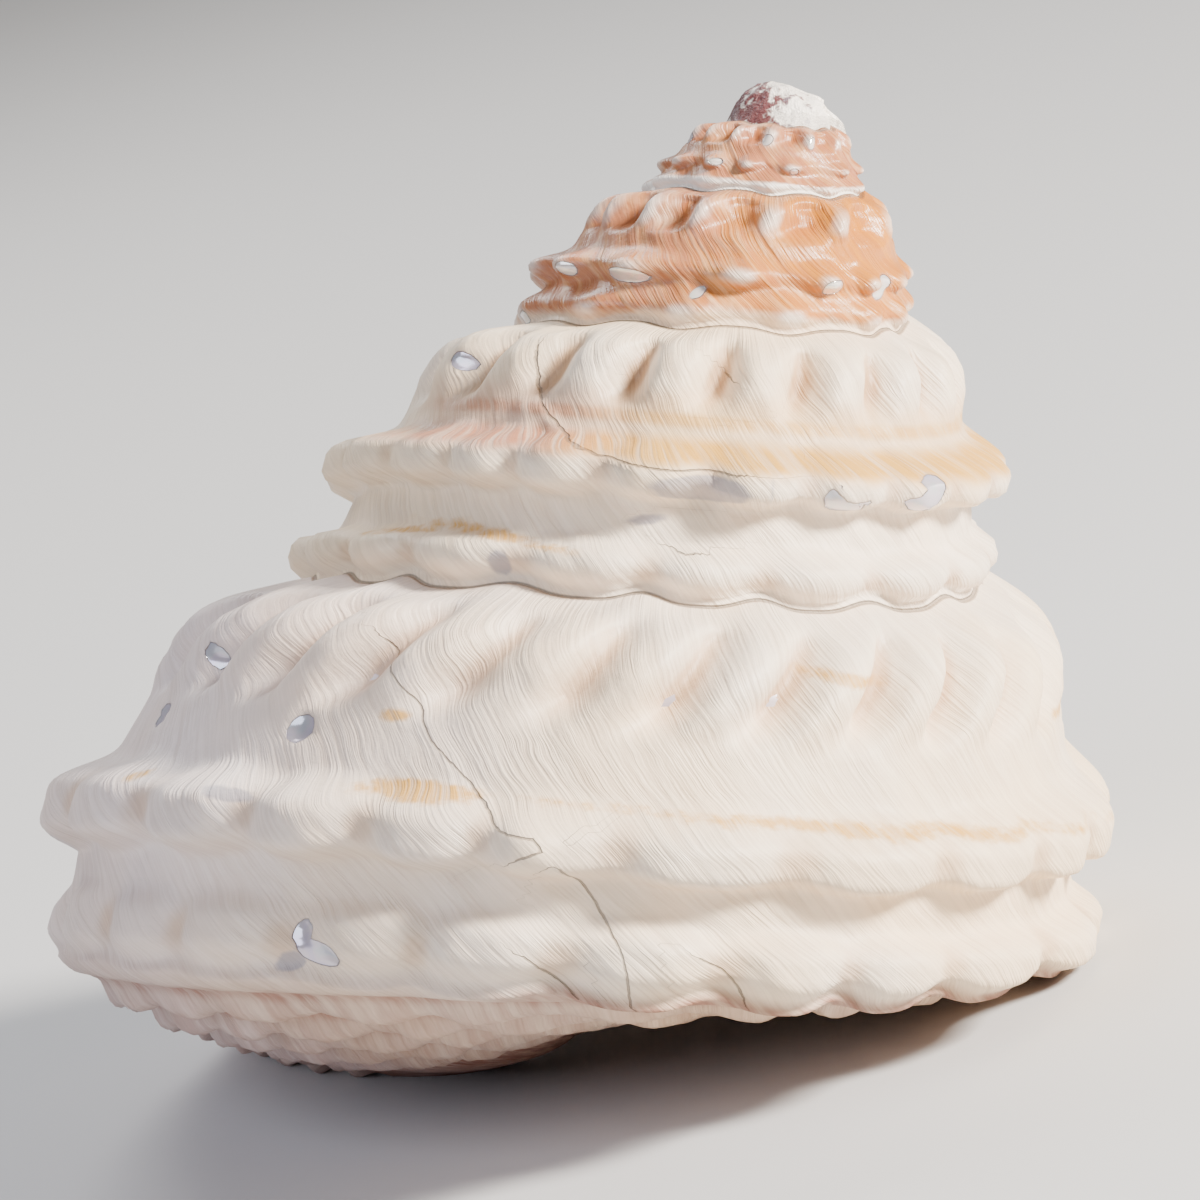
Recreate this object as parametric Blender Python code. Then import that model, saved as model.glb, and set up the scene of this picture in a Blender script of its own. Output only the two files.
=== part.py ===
"""Turban shell: one hollow, right-handed spiral shell with two knobbly keels on each whorl."""

from math import radians

import bpy
import bmesh
import numpy as np
from mathutils import Matrix

# Driving dimensions, in millimetres. The shell is described round its own axis, apex up.
# A station is half a turn of growth: even stations lie on the right, odd ones on the left.
FIRST_STATION = -2
KEEL_RADIUS = [5.3, 7.5, 10.7, 15.1, 19.9, 26.7, 36.0, 45.7, 57.4, 65.4, 71.0]
KEEL_HEIGHT = [120.6, 118.1, 114.2, 108.5, 100.8, 89.9, 73.4, 56.1, 31.8, 6.7, -16.0]
SUTURE_INSET = 0.03
SUTURE_STATION = [-2, 0, 1, 2, 3, 4, 5, 5.6, 6.15, 6.35, 6.6, 6.8, 7, 8]
SUTURE_DROP = [
    0.06, 0.06, 0.08, 0.06, 0.09, 0.055, 0.095, 0.07, 0.02, 0.038, 0.062, 0.092, 0.088, 0.07
]
APEX_HEIGHT = 124.8
APEX_OFF = -2.6
APEX_EDGE = 120.3
APEX_FALL = 4.0
LIP_STATION = 7.5556
POLE_HEIGHT = 5.5
WALL = 4.2
LIP_EDGE = 1.3
COLUMELLA = 6.5
PARIETAL_GLAZE = 0.8

# The whorl's profile: share of the way out to the lower keel, at shares of the way down.
YOUNG_DOWN = [0.0, 0.06, 0.12, 0.20, 0.30, 0.42, 0.55, 0.70, 0.80, 0.92, 1.0]
YOUNG_OUT = [0.0, 0.30, 0.42, 0.48, 0.53, 0.60, 0.68, 0.76, 0.80, 0.84, 0.84]
ADULT_DOWN = [0.0, 0.06, 0.12, 0.18, 0.25, 0.38, 0.48, 0.56, 0.67, 0.80, 0.92, 1.0]
ADULT_OUT = [0.0, 0.34, 0.53, 0.63, 0.67, 0.75, 0.83, 0.89, 0.93, 0.92, 0.90, 0.88]

# The two keels: how far out the upper one stands, their places and half widths.
UPPER_KEEL_STATION = [-2, 1, 2, 3, 4, 5, 5.5, 6, 6.5, 7, 8]
UPPER_KEEL_OUT = [0.82, 0.82, 0.86, 0.91, 0.95, 0.94, 0.94, 0.96, 1.07, 1.17, 1.17]
KEEL_ROW = 0.6
UPPER_PLACE_STATION = [-2, 3.2, 4, 5, 6, 6.2, 6.5, 6.7, 7, 8]
UPPER_PLACE = [0.575, 0.575, 0.53, 0.55, 0.592, 0.600, 0.602, 0.604, 0.630, 0.64]
LOWER_KEEL_STATION = [-2, 2.8, 4.2, 6.6, 7, 8]
LOWER_KEEL_OUT = [0.98, 0.98, 1.0, 1.0, 0.95, 0.95]
LOWER_PLACE_STATION = [-2, 5.5, 6.2, 6.5, 6.7, 7, 8]
LOWER_PLACE = [0.894, 0.90, 0.91, 0.88, 0.88, 0.915, 0.92]
KEEL_WIDTH_STATION = [-2, 3, 4, 5, 6, 6.3, 6.7, 7, 8]
KEEL_WIDTH_ABOVE = [0.10, 0.085, 0.095, 0.088, 0.115, 0.080, 0.078, 0.092, 0.085]
KEEL_WIDTH_BELOW = [0.09, 0.080, 0.090, 0.085, 0.090, 0.080, 0.080, 0.090, 0.085]

# The underside: the pillar's curve, the swelling in front of the mouth, and the cords.
UPPER_KNOB = 0.045
YOUNG_UPPER_KNOB = 0.095
LOWER_KNOB = 0.04
YOUNG_LOWER_KNOB = 0.06
LOWER_KEEL_BELOW = 0.07
LOWER_KEEL_ABOVE = 0.066
YOUNG_LOWER_ABOVE = 0.116
KEEL_SAG = 0.011
YOUNG_SAG = 0.005
FOLD_HEIGHT = 0.085
YOUNG_FOLD_HEIGHT = 0.13
FOLD_LEVEL = -0.65
PLAIN_FOLD_LEVEL = -0.3
PILLAR_OUT = [0.0, 0.05, 0.08, 0.12, 0.17, 0.30, 0.50, 0.80, 1.0]
PILLAR_RISE = [0.0, 0.10, 0.25, 0.50, 0.72, 0.86, 0.93, 0.97, 1.0]
BULGE_STATION = [5.0, 6.0, 6.3, 6.5, 6.6, 6.75, 7.0, 7.6, 8.0]
BULGE_DEPTH = [-2.0, -3.0, -3.5, 0.8, 5.3, 8.7, 10.2, 11.5, 11.5]
CORD_PLACE = [0.87, 0.77, 0.66, 0.55, 0.44]
CORD_HEIGHT = [1.4, 1.7, 1.6, 1.4, 1.1]
CORD_WIDTH = 0.032
TUCK = 1.2

# Stations of the shoulder folds' crests on the half turns in view, from the tip down, and the
# number of steps across each hidden half turn between them. Then the same for the two keels.
FOLDS = [
    [0.21, 0.39, 0.56, 0.70, 0.82, 0.93],
    [2.10, 2.317, 2.488, 2.642, 2.769, 2.874, 2.97],
    [4.02, 4.13, 4.235, 4.346, 4.462, 4.568, 4.67, 4.78, 4.89],
    [6.05, 6.137, 6.216, 6.291, 6.362, 6.44, 6.514, 6.583, 6.661, 6.738, 6.808, 6.88, 6.955],
]
HIDDEN_FOLDS = [7, 10, 12]
UPPER_KNOBS = [
    [0.06, 0.226, 0.456, 0.60, 0.714, 0.86, 1.017],
    [2.133, 2.251, 2.35, 2.522, 2.725, 2.871, 2.973],
    [4.06, 4.16, 4.255, 4.35, 4.45, 4.55, 4.655, 4.725, 4.8, 4.9],
    [6.06, 6.145, 6.237, 6.335, 6.454, 6.551, 6.615, 6.695, 6.773, 6.874, 6.96],
]
HIDDEN_UPPER = [7, 10, 12]
LOWER_KNOBS = [
    [0.10, 0.30, 0.50, 0.70, 0.90],
    [2.139, 2.239, 2.42, 2.603, 2.767, 2.967],
    [4.12, 4.241, 4.367, 4.482, 4.586, 4.727, 4.82, 4.91],
    [6.09, 6.216, 6.306, 6.376, 6.47, 6.575, 6.641, 6.747, 6.819, 6.91, 7.0],
]
HIDDEN_LOWER = [7, 10, 12]

# How the shell lies at rest, in degrees: it is spun round its own axis, leaned over and
# turned. Where it touches the ground it is worn flat.
SPIN = -21.043
LEAN = 28.19
LEAN_TOWARD = 17.358
REST_WEAR = 0.8

# Fineness of the solid.
STEPS_PER_TURN = 72
SPIRE_ROWS = [0.0, 0.08, 0.2, 0.4, 0.51, 0.6, 0.69, 0.78, 0.9, 1.0]
BODY_SPLIT = [2, 2, 3, 2, 2, 2, 2, 3, 2]
BASE_ROWS = [0.97, 0.92, 0.87, 0.82, 0.77, 0.715, 0.66, 0.605, 0.55, 0.495, 0.44, 0.38, 0.25, 0.12]
RING_BACK = [0.02, 0.08, 0.2, 0.38, 0.6, 0.85, 1.12, 1.4]
RING_DETAIL = 0.3
TIP_SHARES = [0.72, 0.4]

HALF = STEPS_PER_TURN // 2
LAG_STEPS = HALF // 4
MM = 0.001


def ease(x, start, end):
    """Rise from 0 to 1 between start and end: three t squared less two t cubed."""
    t = np.clip((np.asarray(x, float) - start) / (end - start), 0.0, 1.0)
    return t * t * (3.0 - 2.0 * t)


def curve(x, xs, ys):
    """Smooth curve through hand-placed points: a cubic in each gap, its slopes averaged."""
    xs = np.asarray(xs, float)
    ys = np.asarray(ys, float)
    gap = np.diff(xs)
    slope = np.diff(ys) / gap
    lean = np.empty_like(ys)
    lean[0] = slope[0]
    lean[-1] = slope[-1]
    lean[1:-1] = (slope[:-1] * gap[1:] + slope[1:] * gap[:-1]) / (gap[1:] + gap[:-1])
    k = np.clip(np.searchsorted(xs, x) - 1, 0, len(gap) - 1)
    t = (x - xs[k]) / gap[k]
    low = (1 + 2 * t) * (1 - t) ** 2 * ys[k] + t * (1 - t) ** 2 * gap[k] * lean[k]
    high = t * t * (3 - 2 * t) * ys[k + 1] + t * t * (t - 1) * gap[k] * lean[k + 1]
    return low + high


def ripple(x, seed, terms=6):
    """Uneven waves between about -1 and 1: a sum of sines with seeded lengths and starts."""
    rng = np.random.default_rng(seed)
    speeds = rng.uniform(0.6, 1.9, terms)
    starts = rng.uniform(0, 2 * np.pi, terms)
    total = sum(np.sin(speed * x + start) for speed, start in zip(speeds, starts))
    return total / np.sqrt(terms) / 1.2


def keel(n):
    """Radius and height of the lower keel: smooth curves through the stations."""
    stations = FIRST_STATION + np.arange(len(KEEL_RADIUS))
    return np.exp(curve(n, stations, np.log(KEEL_RADIUS))), curve(n, stations, KEEL_HEIGHT)


def crest_line(groups, hidden):
    """Stations of all crests in order: the hand-placed ones, with even steps between them."""
    first = groups[0][0]
    stations = [first - 0.2 * step for step in range(12, 0, -1)]
    for group, steps in zip(groups, hidden + [0]):
        stations.extend(group)
        if steps:
            after = groups[groups.index(group) + 1][0]
            gap = (after - group[-1]) / steps
            stations.extend(group[-1] + gap * (k + 1) for k in range(steps - 1))
    last = stations[-1]
    stations.extend(last + 0.085 * (k + 1) for k in range(14))
    return np.array(stations)


FOLD_LINE = crest_line(FOLDS, HIDDEN_FOLDS)
UPPER_LINE = crest_line(UPPER_KNOBS, HIDDEN_UPPER)
LOWER_LINE = crest_line(LOWER_KNOBS, HIDDEN_LOWER)


def crest_count(n, line):
    """Number of crests grown by station n: a straight run from each crest to the next."""
    return np.interp(n, line, np.arange(len(line)))


def knob_wave(count, n):
    """Knobs between -1 and 1: beads with wide gaps when young, broad lobes later."""
    turn = np.cos(2 * np.pi * count)
    bead = 2 * ((1 + turn) / 2) ** 1.5 - 1
    lobe = 1 - 2 * ((1 - turn) / 2) ** 1.8
    grown = ease(n, 2.9, 4.0)
    return bead + (lobe - bead) * grown


def suture(n, detail=0.0):
    """Line under the lower keel, where the next whorl is fastened: it dips under each knob."""
    radius, height = keel(n)
    dip = detail * knob_wave(crest_count(n, LOWER_LINE), n) * (0.10 + 0.012 * radius)
    dip = dip * (1 - 0.7 * ease(n, 6.45, 6.7))
    drop = curve(n, SUTURE_STATION, SUTURE_DROP)
    return radius * (1 - SUTURE_INSET) + 0.4 * dip, height - drop * radius - dip


def lag(s):
    """Sweep of a growth line, in half turns: it falls back down the side and in to the pole."""
    side = 0.25 * np.clip(s, 0, 1) ** 1.4
    under = 0.17 * (1 - np.clip(2 - s, 0, 1) ** 1.6)
    return side + under


def upper_keel_place(n):
    """Share of the way down the whorl at which the upper keel lies."""
    return curve(n, UPPER_PLACE_STATION, UPPER_PLACE)


def row_place(n, t):
    """Row t as a share of the way down: two straight stretches that meet at the upper keel."""
    place = upper_keel_place(n)
    below = place + (t - KEEL_ROW) / (1 - KEEL_ROW) * (1 - place)
    return np.where(t < KEEL_ROW, t / KEEL_ROW * place, below)


def fold_wave(n, q):
    """Height of the shoulder folds, which sweep back a little as they run down."""
    slant = -0.05 - 0.38 * ease(n, 4.5, 6.2)
    return knob_wave(crest_count(n, FOLD_LINE) + slant * (q - 0.16) / 0.2, n)


def keel_shape(past, above, below, knob, young):
    """A keel's section, 1 on its crest: a round back above and a steeper fall below."""
    wide = np.where(past < 0, above, below) * (1 + 0.10 * knob)
    power = np.where(past < 0, 3.2 - 0.9 * young, 4.5 - 1.7 * young)
    return np.exp(-np.abs(past / wide) ** power)


def side(n, t, detail):
    """Whorl's side: the profile with two rounded keels, their knobs, and the shoulder folds."""
    top_r, top_z = suture(n - 2)
    low_r, low_z = suture(n)
    reach = keel(n)[0] - top_r
    q = row_place(n, t)
    upper = upper_keel_place(n)
    lower = curve(n, LOWER_PLACE_STATION, LOWER_PLACE)
    adult = ease(n, 5.5, 6.9)
    young = 1 - ease(n, 2.8, 4.2)
    out = curve(q, YOUNG_DOWN, YOUNG_OUT) * (1 - adult) + curve(q, ADULT_DOWN, ADULT_OUT) * adult
    upper_knob = detail * knob_wave(crest_count(n, UPPER_LINE), n) * (1 + 0.3 * ripple(9 * n, 5))
    lower_knob = detail * knob_wave(crest_count(n, LOWER_LINE), n) * (1 + 0.3 * ripple(11 * n, 6))
    upper_size = UPPER_KNOB + (YOUNG_UPPER_KNOB - UPPER_KNOB) * young
    lower_size = LOWER_KNOB + (YOUNG_LOWER_KNOB - LOWER_KNOB) * young
    upper_out = curve(n, UPPER_KEEL_STATION, UPPER_KEEL_OUT) + upper_size * upper_knob
    lower_out = curve(n, LOWER_KEEL_STATION, LOWER_KEEL_OUT) + lower_size * lower_knob
    above = curve(n, KEEL_WIDTH_STATION, KEEL_WIDTH_ABOVE)
    below = curve(n, KEEL_WIDTH_STATION, KEEL_WIDTH_BELOW)
    on_upper = keel_shape(q - upper, above, below, upper_knob, young)
    lower_above = LOWER_KEEL_ABOVE + (YOUNG_LOWER_ABOVE - LOWER_KEEL_ABOVE) * young
    on_lower = keel_shape(q - lower, lower_above, LOWER_KEEL_BELOW, lower_knob, young)
    out = out + (upper_out - out) * on_upper
    out = out + (lower_out - out) * on_lower
    fold = ease(q, 0.015, 0.10) * (1 - ease(q, 0.22 + 0.03 * adult, 0.36))
    size = FOLD_HEIGHT + (YOUNG_FOLD_HEIGHT - FOLD_HEIGHT) * young
    wave = FOLD_LEVEL + fold_wave(n, q) * (1 + 0.2 * ripple(14 * n, 7))
    out = out + size * fold * (detail * wave + (1 - detail) * PLAIN_FOLD_LEVEL)
    foot = (low_r - top_r) / reach
    out = out + (foot - out) * ease(q, lower + 0.02, 1.0) ** 1.5
    r = top_r + out * reach
    sag = (KEEL_SAG + (YOUNG_SAG - KEEL_SAG) * young) * (1 + 0.5 * upper_knob)
    z = top_z + q * (low_z - top_z) - sag * keel(n)[0] * on_upper
    top_wave = suture(n - 2, detail)
    low_wave = suture(n, detail)
    near_top = 1 - ease(q, 0.0, 0.10)
    near_foot = ease(q, 0.86, 1.0)
    r = r + (top_wave[0] - top_r) * near_top + (low_wave[0] - low_r) * near_foot
    z = z + (top_wave[1] - top_z) * near_top + (low_wave[1] - low_z) * near_foot
    return r, z


def base(n, f, detail):
    """Underside: a line from the foot to the pole, tucked, bulged and raised into cords."""
    low_r, low_z = suture(n)
    tuck = -TUCK * (1 - np.exp(-(1 - f) / 0.025)) * f ** 3 * ease(n, 6.45, 6.9)
    bulge = curve(n, BULGE_STATION, BULGE_DEPTH) * (1 - f ** 2.2) * (1 - np.exp(-f / 0.2))
    plain = POLE_HEIGHT + (low_z - POLE_HEIGHT) * f + tuck - bulge
    count = crest_count(n, LOWER_LINE)
    for order, place in enumerate(CORD_PLACE):
        turn = 2 * np.pi * (count + 0.3 * order)
        bead = 0.85 + (0.35 - 0.07 * order) * np.cos(turn)
        shift = f - place - 0.008 * np.sin(turn)
        ridge = CORD_HEIGHT[order] * np.exp(-np.abs(shift / CORD_WIDTH) ** 2.3)
        plain = plain - detail * ridge * bead * ease(n, 5.7, 6.2)
    wave = suture(n, detail)
    plain = plain + (wave[1] - low_z) * ease(f, 0.94, 1.0)
    pillar = POLE_HEIGHT + (low_z - POLE_HEIGHT) * curve(f, PILLAR_OUT, PILLAR_RISE)
    inner = 1 - ease(n, 5.6, 6.3)
    r = f * (low_r + (wave[0] - low_r) * ease(f, 0.94, 1.0))
    return r, plain * (1 - inner) + pillar * inner + (wave[1] - low_z) * inner * ease(f, 0.94, 1.0)


def point(i, t, detail=1.0):
    """Point on growth line i: t runs 0 to 1 down the side, then 1 to 2 in to the pole."""
    t = np.asarray(t, float)
    n = i - lag(t)
    side_r, side_z = side(n, np.clip(t, 0, 1), detail)
    base_r, base_z = base(n, np.clip(2 - t, 0, 1), detail)
    r = np.where(t > 1, base_r, side_r)
    z = np.where(t > 1, base_z, side_z)
    turn = -np.pi * (n - 6)
    return np.stack([r * np.cos(turn), r * np.sin(turn), z], axis=-1)


class Skin:
    """Vertices and faces of the shell, with the vertices found again by name."""

    def __init__(self):
        self.places = []
        self.names = {}
        self.faces = []

    def add(self, name, place):
        """Keep one vertex under a name."""
        self.names[name] = len(self.places)
        self.places.append(tuple(float(value) for value in place))
        return self.names[name]

    def face(self, corners):
        """Keep one face, leaving out corners that repeat."""
        ring = [c for k, c in enumerate(corners) if c != corners[k - 1]]
        if len(ring) > 2:
            self.faces.append(ring)


def body_rows():
    """Rows of the last whorl: the spire's rows, each split into finer ones."""
    rows = [0.0]
    for order, count in enumerate(BODY_SPLIT):
        start = SPIRE_ROWS[order]
        step = (SPIRE_ROWS[order + 1] - start) / count
        rows.extend(start + step * (k + 1) for k in range(count))
    return [round(row, 6) for row in rows]


def top_vertex(skin, column):
    """A whorl's top vertex is the earlier whorl's foot, three quarters of a turn on."""
    earlier = column - (STEPS_PER_TURN - LAG_STEPS)
    if earlier >= 0:
        return skin.names[(earlier, 1.0)]
    if (column, 0.0) in skin.names:
        return skin.names[(column, 0.0)]
    return skin.add((column, 0.0), point(column / HALF, 0.0))


def add_sides(skin, last, body_first):
    """Build the outer side, from the apex to the lip."""
    fine = body_rows()
    for column in range(last + 1):
        rows = fine if column >= body_first else SPIRE_ROWS
        skin.names[(column, 0.0)] = top_vertex(skin, column)
        for row in rows[1:]:
            skin.add((column, row), point(column / HALF, row))
    for column in range(last):
        rows = fine if column >= body_first else SPIRE_ROWS
        after = fine if column + 1 >= body_first else SPIRE_ROWS
        for upper, lower in zip(rows[:-1], rows[1:]):
            left = [skin.names[(column, upper)], skin.names[(column, lower)]]
            between = [row for row in reversed(after) if upper <= row <= lower]
            skin.face(left + [skin.names[(column + 1, row)] for row in between])


def main_columns():
    """Column numbers of the lip, the start of the last whorl and the first bare base line."""
    last = round(LIP_STATION * HALF)
    body_first = last - STEPS_PER_TURN
    bare_first = last - (STEPS_PER_TURN - LAG_STEPS)
    return last, body_first, bare_first


def add_base(skin, last, bare_first):
    """Build the underside of the last whorl, from its foot in to the pole."""
    pole = skin.add("pole", (0.0, 0.0, POLE_HEIGHT))
    for column in range(bare_first, last + 1):
        for out in BASE_ROWS:
            skin.add((column, 2 - out), point(column / HALF, 2 - out))
    rows = [1.0] + [2 - out for out in BASE_ROWS]
    for column in range(bare_first, last):
        for upper, lower in zip(rows[:-1], rows[1:]):
            left = [skin.names[(column, upper)], skin.names[(column, lower)]]
            right = [skin.names[(column + 1, lower)], skin.names[(column + 1, upper)]]
            skin.face(left + right)
        ends = [skin.names[(column, rows[-1])], pole, skin.names[(column + 1, rows[-1])]]
        skin.face(ends)


def add_hollow(skin, last, bare_first):
    """Build the lip's edge and the hollow that winds back behind it."""
    lip_rows = body_rows() + [2 - out for out in BASE_ROWS] + [2.0]
    wall_rows = [2 - out for out in reversed(BASE_ROWS)]
    ring = [skin.names[(last, row)] for row in lip_rows[:-1]]
    ring.append(skin.names["pole"])
    ring.extend(skin.names[(bare_first, row)] for row in wall_rows)
    lip_rows = np.array(lip_rows)
    wall_rows = np.array(wall_rows)
    lip = last / HALF
    behind = (STEPS_PER_TURN - LAG_STEPS) / HALF
    count = len(ring)
    for depth in RING_BACK:
        outer = point(lip - depth, lip_rows, RING_DETAIL)
        inner = point(lip - behind - depth, wall_rows, RING_DETAIL)
        loop = np.concatenate([outer, inner])
        middle = loop.mean(axis=0)
        thick = LIP_EDGE + (WALL - LIP_EDGE) * float(ease(depth, 0.0, 0.3))
        glaze = PARIETAL_GLAZE * float(ease(depth, 0.0, 0.3))
        post = COLUMELLA * float(ease(depth, 0.0, 0.5))
        to_pole = np.concatenate([ease(lip_rows, 1.5, 2.0), 1 - ease(2 - wall_rows, 0.0, 0.4)])
        plain = np.concatenate([np.full(len(lip_rows), thick), np.full(len(wall_rows), glaze)])
        offset = plain + (np.maximum(post, plain) - plain) * to_pole
        away = middle - loop
        length = np.linalg.norm(away, axis=1)
        loop = loop + away * np.minimum(offset / length, 0.7)[:, None]
        new = [skin.add(("ring", depth, k), place) for k, place in enumerate(loop)]
        for k in range(count):
            nxt = (k + 1) % count
            skin.face([ring[k], ring[nxt], new[nxt], new[k]])
        ring = new
    end = skin.add("end", np.mean([skin.places[k] for k in ring], axis=0))
    for k in range(count):
        skin.face([ring[k], ring[(k + 1) % count], end])


def add_apex(skin):
    """Close the worn tip with a low dome."""
    rim = [skin.names[(c, 0.0)] for c in range(STEPS_PER_TURN - LAG_STEPS + 1)]
    rim.extend(skin.names[(0, row)] for row in reversed(SPIRE_ROWS[1:-1]))
    edge = np.array([skin.places[k] for k in rim])
    middle = np.array([APEX_OFF, 0.0, APEX_HEIGHT])
    fallen = np.clip(APEX_EDGE - edge[:, 2], 0, None) / APEX_FALL
    ring = rim
    for share in TIP_SHARES:
        rise = np.sqrt(1 - share ** 2)
        loop = middle + (edge - middle) * (share ** (1 + fallen))[:, None]
        loop[:, 2] = edge[:, 2] + (APEX_HEIGHT - edge[:, 2]) * rise
        new = [skin.add(("tip", share, k), place) for k, place in enumerate(loop)]
        for k in range(len(ring)):
            nxt = (k + 1) % len(ring)
            skin.face([ring[nxt], ring[k], new[k], new[nxt]])
        ring = new
    tip = skin.add("tip", middle)
    for k in range(len(ring)):
        skin.face([ring[(k + 1) % len(ring)], ring[k], tip])


def rest_pose():
    """Spin the shell round its axis and lean it to the side on which it comes to rest."""
    spin = Matrix.Rotation(radians(SPIN), 4, "Z")
    lean = Matrix.Rotation(radians(LEAN), 4, "Y")
    turn = Matrix.Rotation(radians(LEAN_TOWARD), 4, "Z")
    return turn @ lean @ spin


def build_mesh(skin):
    """Turn the vertices and faces into a closed mesh, resting flat on the ground."""
    mesh = bpy.data.meshes.new("shell")
    mesh.from_pydata([tuple(value * MM for value in place) for place in skin.places], [], skin.faces)
    work = bmesh.new()
    work.from_mesh(mesh)
    bmesh.ops.triangulate(work, faces=work.faces[:])
    bmesh.ops.transform(work, matrix=rest_pose(), verts=work.verts[:])
    lowest = min(vert.co.z for vert in work.verts)
    middle_x = (min(v.co.x for v in work.verts) + max(v.co.x for v in work.verts)) / 2
    middle_y = (min(v.co.y for v in work.verts) + max(v.co.y for v in work.verts)) / 2
    shift = Matrix.Translation((-middle_x, -middle_y, -lowest - REST_WEAR * MM))
    bmesh.ops.transform(work, matrix=shift, verts=work.verts[:])
    everything = work.verts[:] + work.edges[:] + work.faces[:]
    bmesh.ops.bisect_plane(
        work, geom=everything, dist=1e-7, plane_co=(0, 0, 0), plane_no=(0, 0, 1), clear_inner=True
    )
    rim = [edge for edge in work.edges if edge.is_boundary]
    bmesh.ops.holes_fill(work, edges=rim, sides=0)
    bmesh.ops.triangulate(work, faces=[face for face in work.faces if len(face.verts) > 3])
    bmesh.ops.recalc_face_normals(work, faces=work.faces[:])
    work.to_mesh(mesh)
    work.free()
    mesh.shade_smooth()
    return mesh


def shell_material():
    """Chalky cream, slightly glossy shell."""
    material = bpy.data.materials.new("shell")
    material.use_nodes = True
    shader = material.node_tree.nodes["Principled BSDF"]
    shader.inputs["Base Color"].default_value = (0.78, 0.70, 0.60, 1.0)
    shader.inputs["Roughness"].default_value = 0.55
    shader.inputs["Metallic"].default_value = 0.0
    return material


def main():
    """Build the shell as one closed solid."""
    for item in list(bpy.data.objects):
        bpy.data.objects.remove(item, do_unlink=True)
    skin = Skin()
    last, body_first, bare_first = main_columns()
    add_sides(skin, last, body_first)
    add_base(skin, last, bare_first)
    add_hollow(skin, last, bare_first)
    add_apex(skin)
    mesh = build_mesh(skin)
    mesh.materials.append(shell_material())
    shell = bpy.data.objects.new("shell", mesh)
    bpy.context.collection.objects.link(shell)


main()
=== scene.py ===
import bpy
import numpy as np
from math import atan, radians
from mathutils import Matrix, Vector


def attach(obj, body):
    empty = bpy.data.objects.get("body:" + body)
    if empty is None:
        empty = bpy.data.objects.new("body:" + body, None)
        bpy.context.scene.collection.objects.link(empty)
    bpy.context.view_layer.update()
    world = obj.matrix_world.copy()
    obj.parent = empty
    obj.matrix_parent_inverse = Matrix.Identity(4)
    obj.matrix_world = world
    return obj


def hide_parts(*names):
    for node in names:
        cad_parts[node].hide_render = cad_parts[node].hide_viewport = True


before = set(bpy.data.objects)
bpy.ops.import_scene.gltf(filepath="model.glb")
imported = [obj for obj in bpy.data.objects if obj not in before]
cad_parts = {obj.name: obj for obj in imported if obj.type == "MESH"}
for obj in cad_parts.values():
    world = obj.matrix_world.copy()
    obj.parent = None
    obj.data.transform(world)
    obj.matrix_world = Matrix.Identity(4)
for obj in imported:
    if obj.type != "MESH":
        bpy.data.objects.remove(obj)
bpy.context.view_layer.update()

bl_info = {
    "name": "Turban Shell",
    "version": (1, 0, 0),
    "blender": (4, 5, 0),
    "location": "View3D > Sidebar > Turban Shell",
    "description": "Builds a worn turban shell and the stage that it is shown on",
    "category": "Add Mesh",
}

MM = 0.001

# The whorls, in millimetres, nearly as in the solid: one station for each half turn of growth.
FIRST_STATION = -2
KEEL_RADIUS = [5.3, 7.5, 10.7, 15.1, 19.9, 26.7, 36.0, 45.7, 57.4, 65.4, 71.0]
KEEL_HEIGHT = [120.6, 118.1, 114.2, 108.5, 100.8, 89.9, 73.4, 56.1, 31.8, 6.7, -16.0]
SUTURE_INSET = 0.03
SUTURE_STATION = [-2, 0, 1, 2, 3, 4, 5, 5.6, 6.15, 6.35, 6.6, 6.8, 7, 8]
SUTURE_DROP = [
    0.06, 0.06, 0.08, 0.06, 0.09, 0.055, 0.095, 0.07, 0.02, 0.038, 0.062, 0.092, 0.088, 0.07
]
APEX_HEIGHT = 124.0
APEX_OFF = -2.6
APEX_EDGE = 120.3
APEX_FALL = 4.0
TIP_LUMP = 0.09
TIP_WAVE = 1.2
POLE_HEIGHT = 5.5
WALL = 4.2
LIP_EDGE = 1.3
COLUMELLA = 6.5
PARIETAL_GLAZE = 0.8
YOUNG_DOWN = [0.0, 0.06, 0.12, 0.20, 0.30, 0.42, 0.55, 0.70, 0.80, 0.92, 1.0]
YOUNG_OUT = [0.0, 0.30, 0.42, 0.48, 0.53, 0.60, 0.68, 0.76, 0.80, 0.84, 0.84]
ADULT_DOWN = [0.0, 0.06, 0.12, 0.18, 0.25, 0.38, 0.48, 0.56, 0.67, 0.80, 0.92, 1.0]
ADULT_OUT = [0.0, 0.34, 0.53, 0.63, 0.67, 0.75, 0.83, 0.89, 0.93, 0.92, 0.90, 0.88]
UPPER_KEEL_STATION = [-2, 1, 2, 3, 4, 5, 5.5, 6, 6.5, 7, 8]
UPPER_KEEL_OUT = [0.82, 0.82, 0.86, 0.91, 0.95, 0.94, 0.94, 0.96, 1.07, 1.17, 1.17]
KEEL_ROW = 0.6
UPPER_PLACE_STATION = [-2, 3.2, 4, 5, 6, 6.2, 6.5, 6.7, 7, 8]
UPPER_PLACE = [0.575, 0.575, 0.53, 0.55, 0.592, 0.600, 0.602, 0.604, 0.630, 0.64]
LOWER_KEEL_STATION = [-2, 2.8, 4.2, 6.6, 7, 8]
LOWER_KEEL_OUT = [0.98, 0.98, 1.0, 1.0, 0.95, 0.95]
LOWER_PLACE_STATION = [-2, 5.5, 6.2, 6.5, 6.7, 7, 8]
LOWER_PLACE = [0.894, 0.90, 0.91, 0.88, 0.88, 0.915, 0.92]
KEEL_WIDTH_STATION = [-2, 3, 4, 5, 6, 6.3, 6.7, 7, 8]
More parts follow.
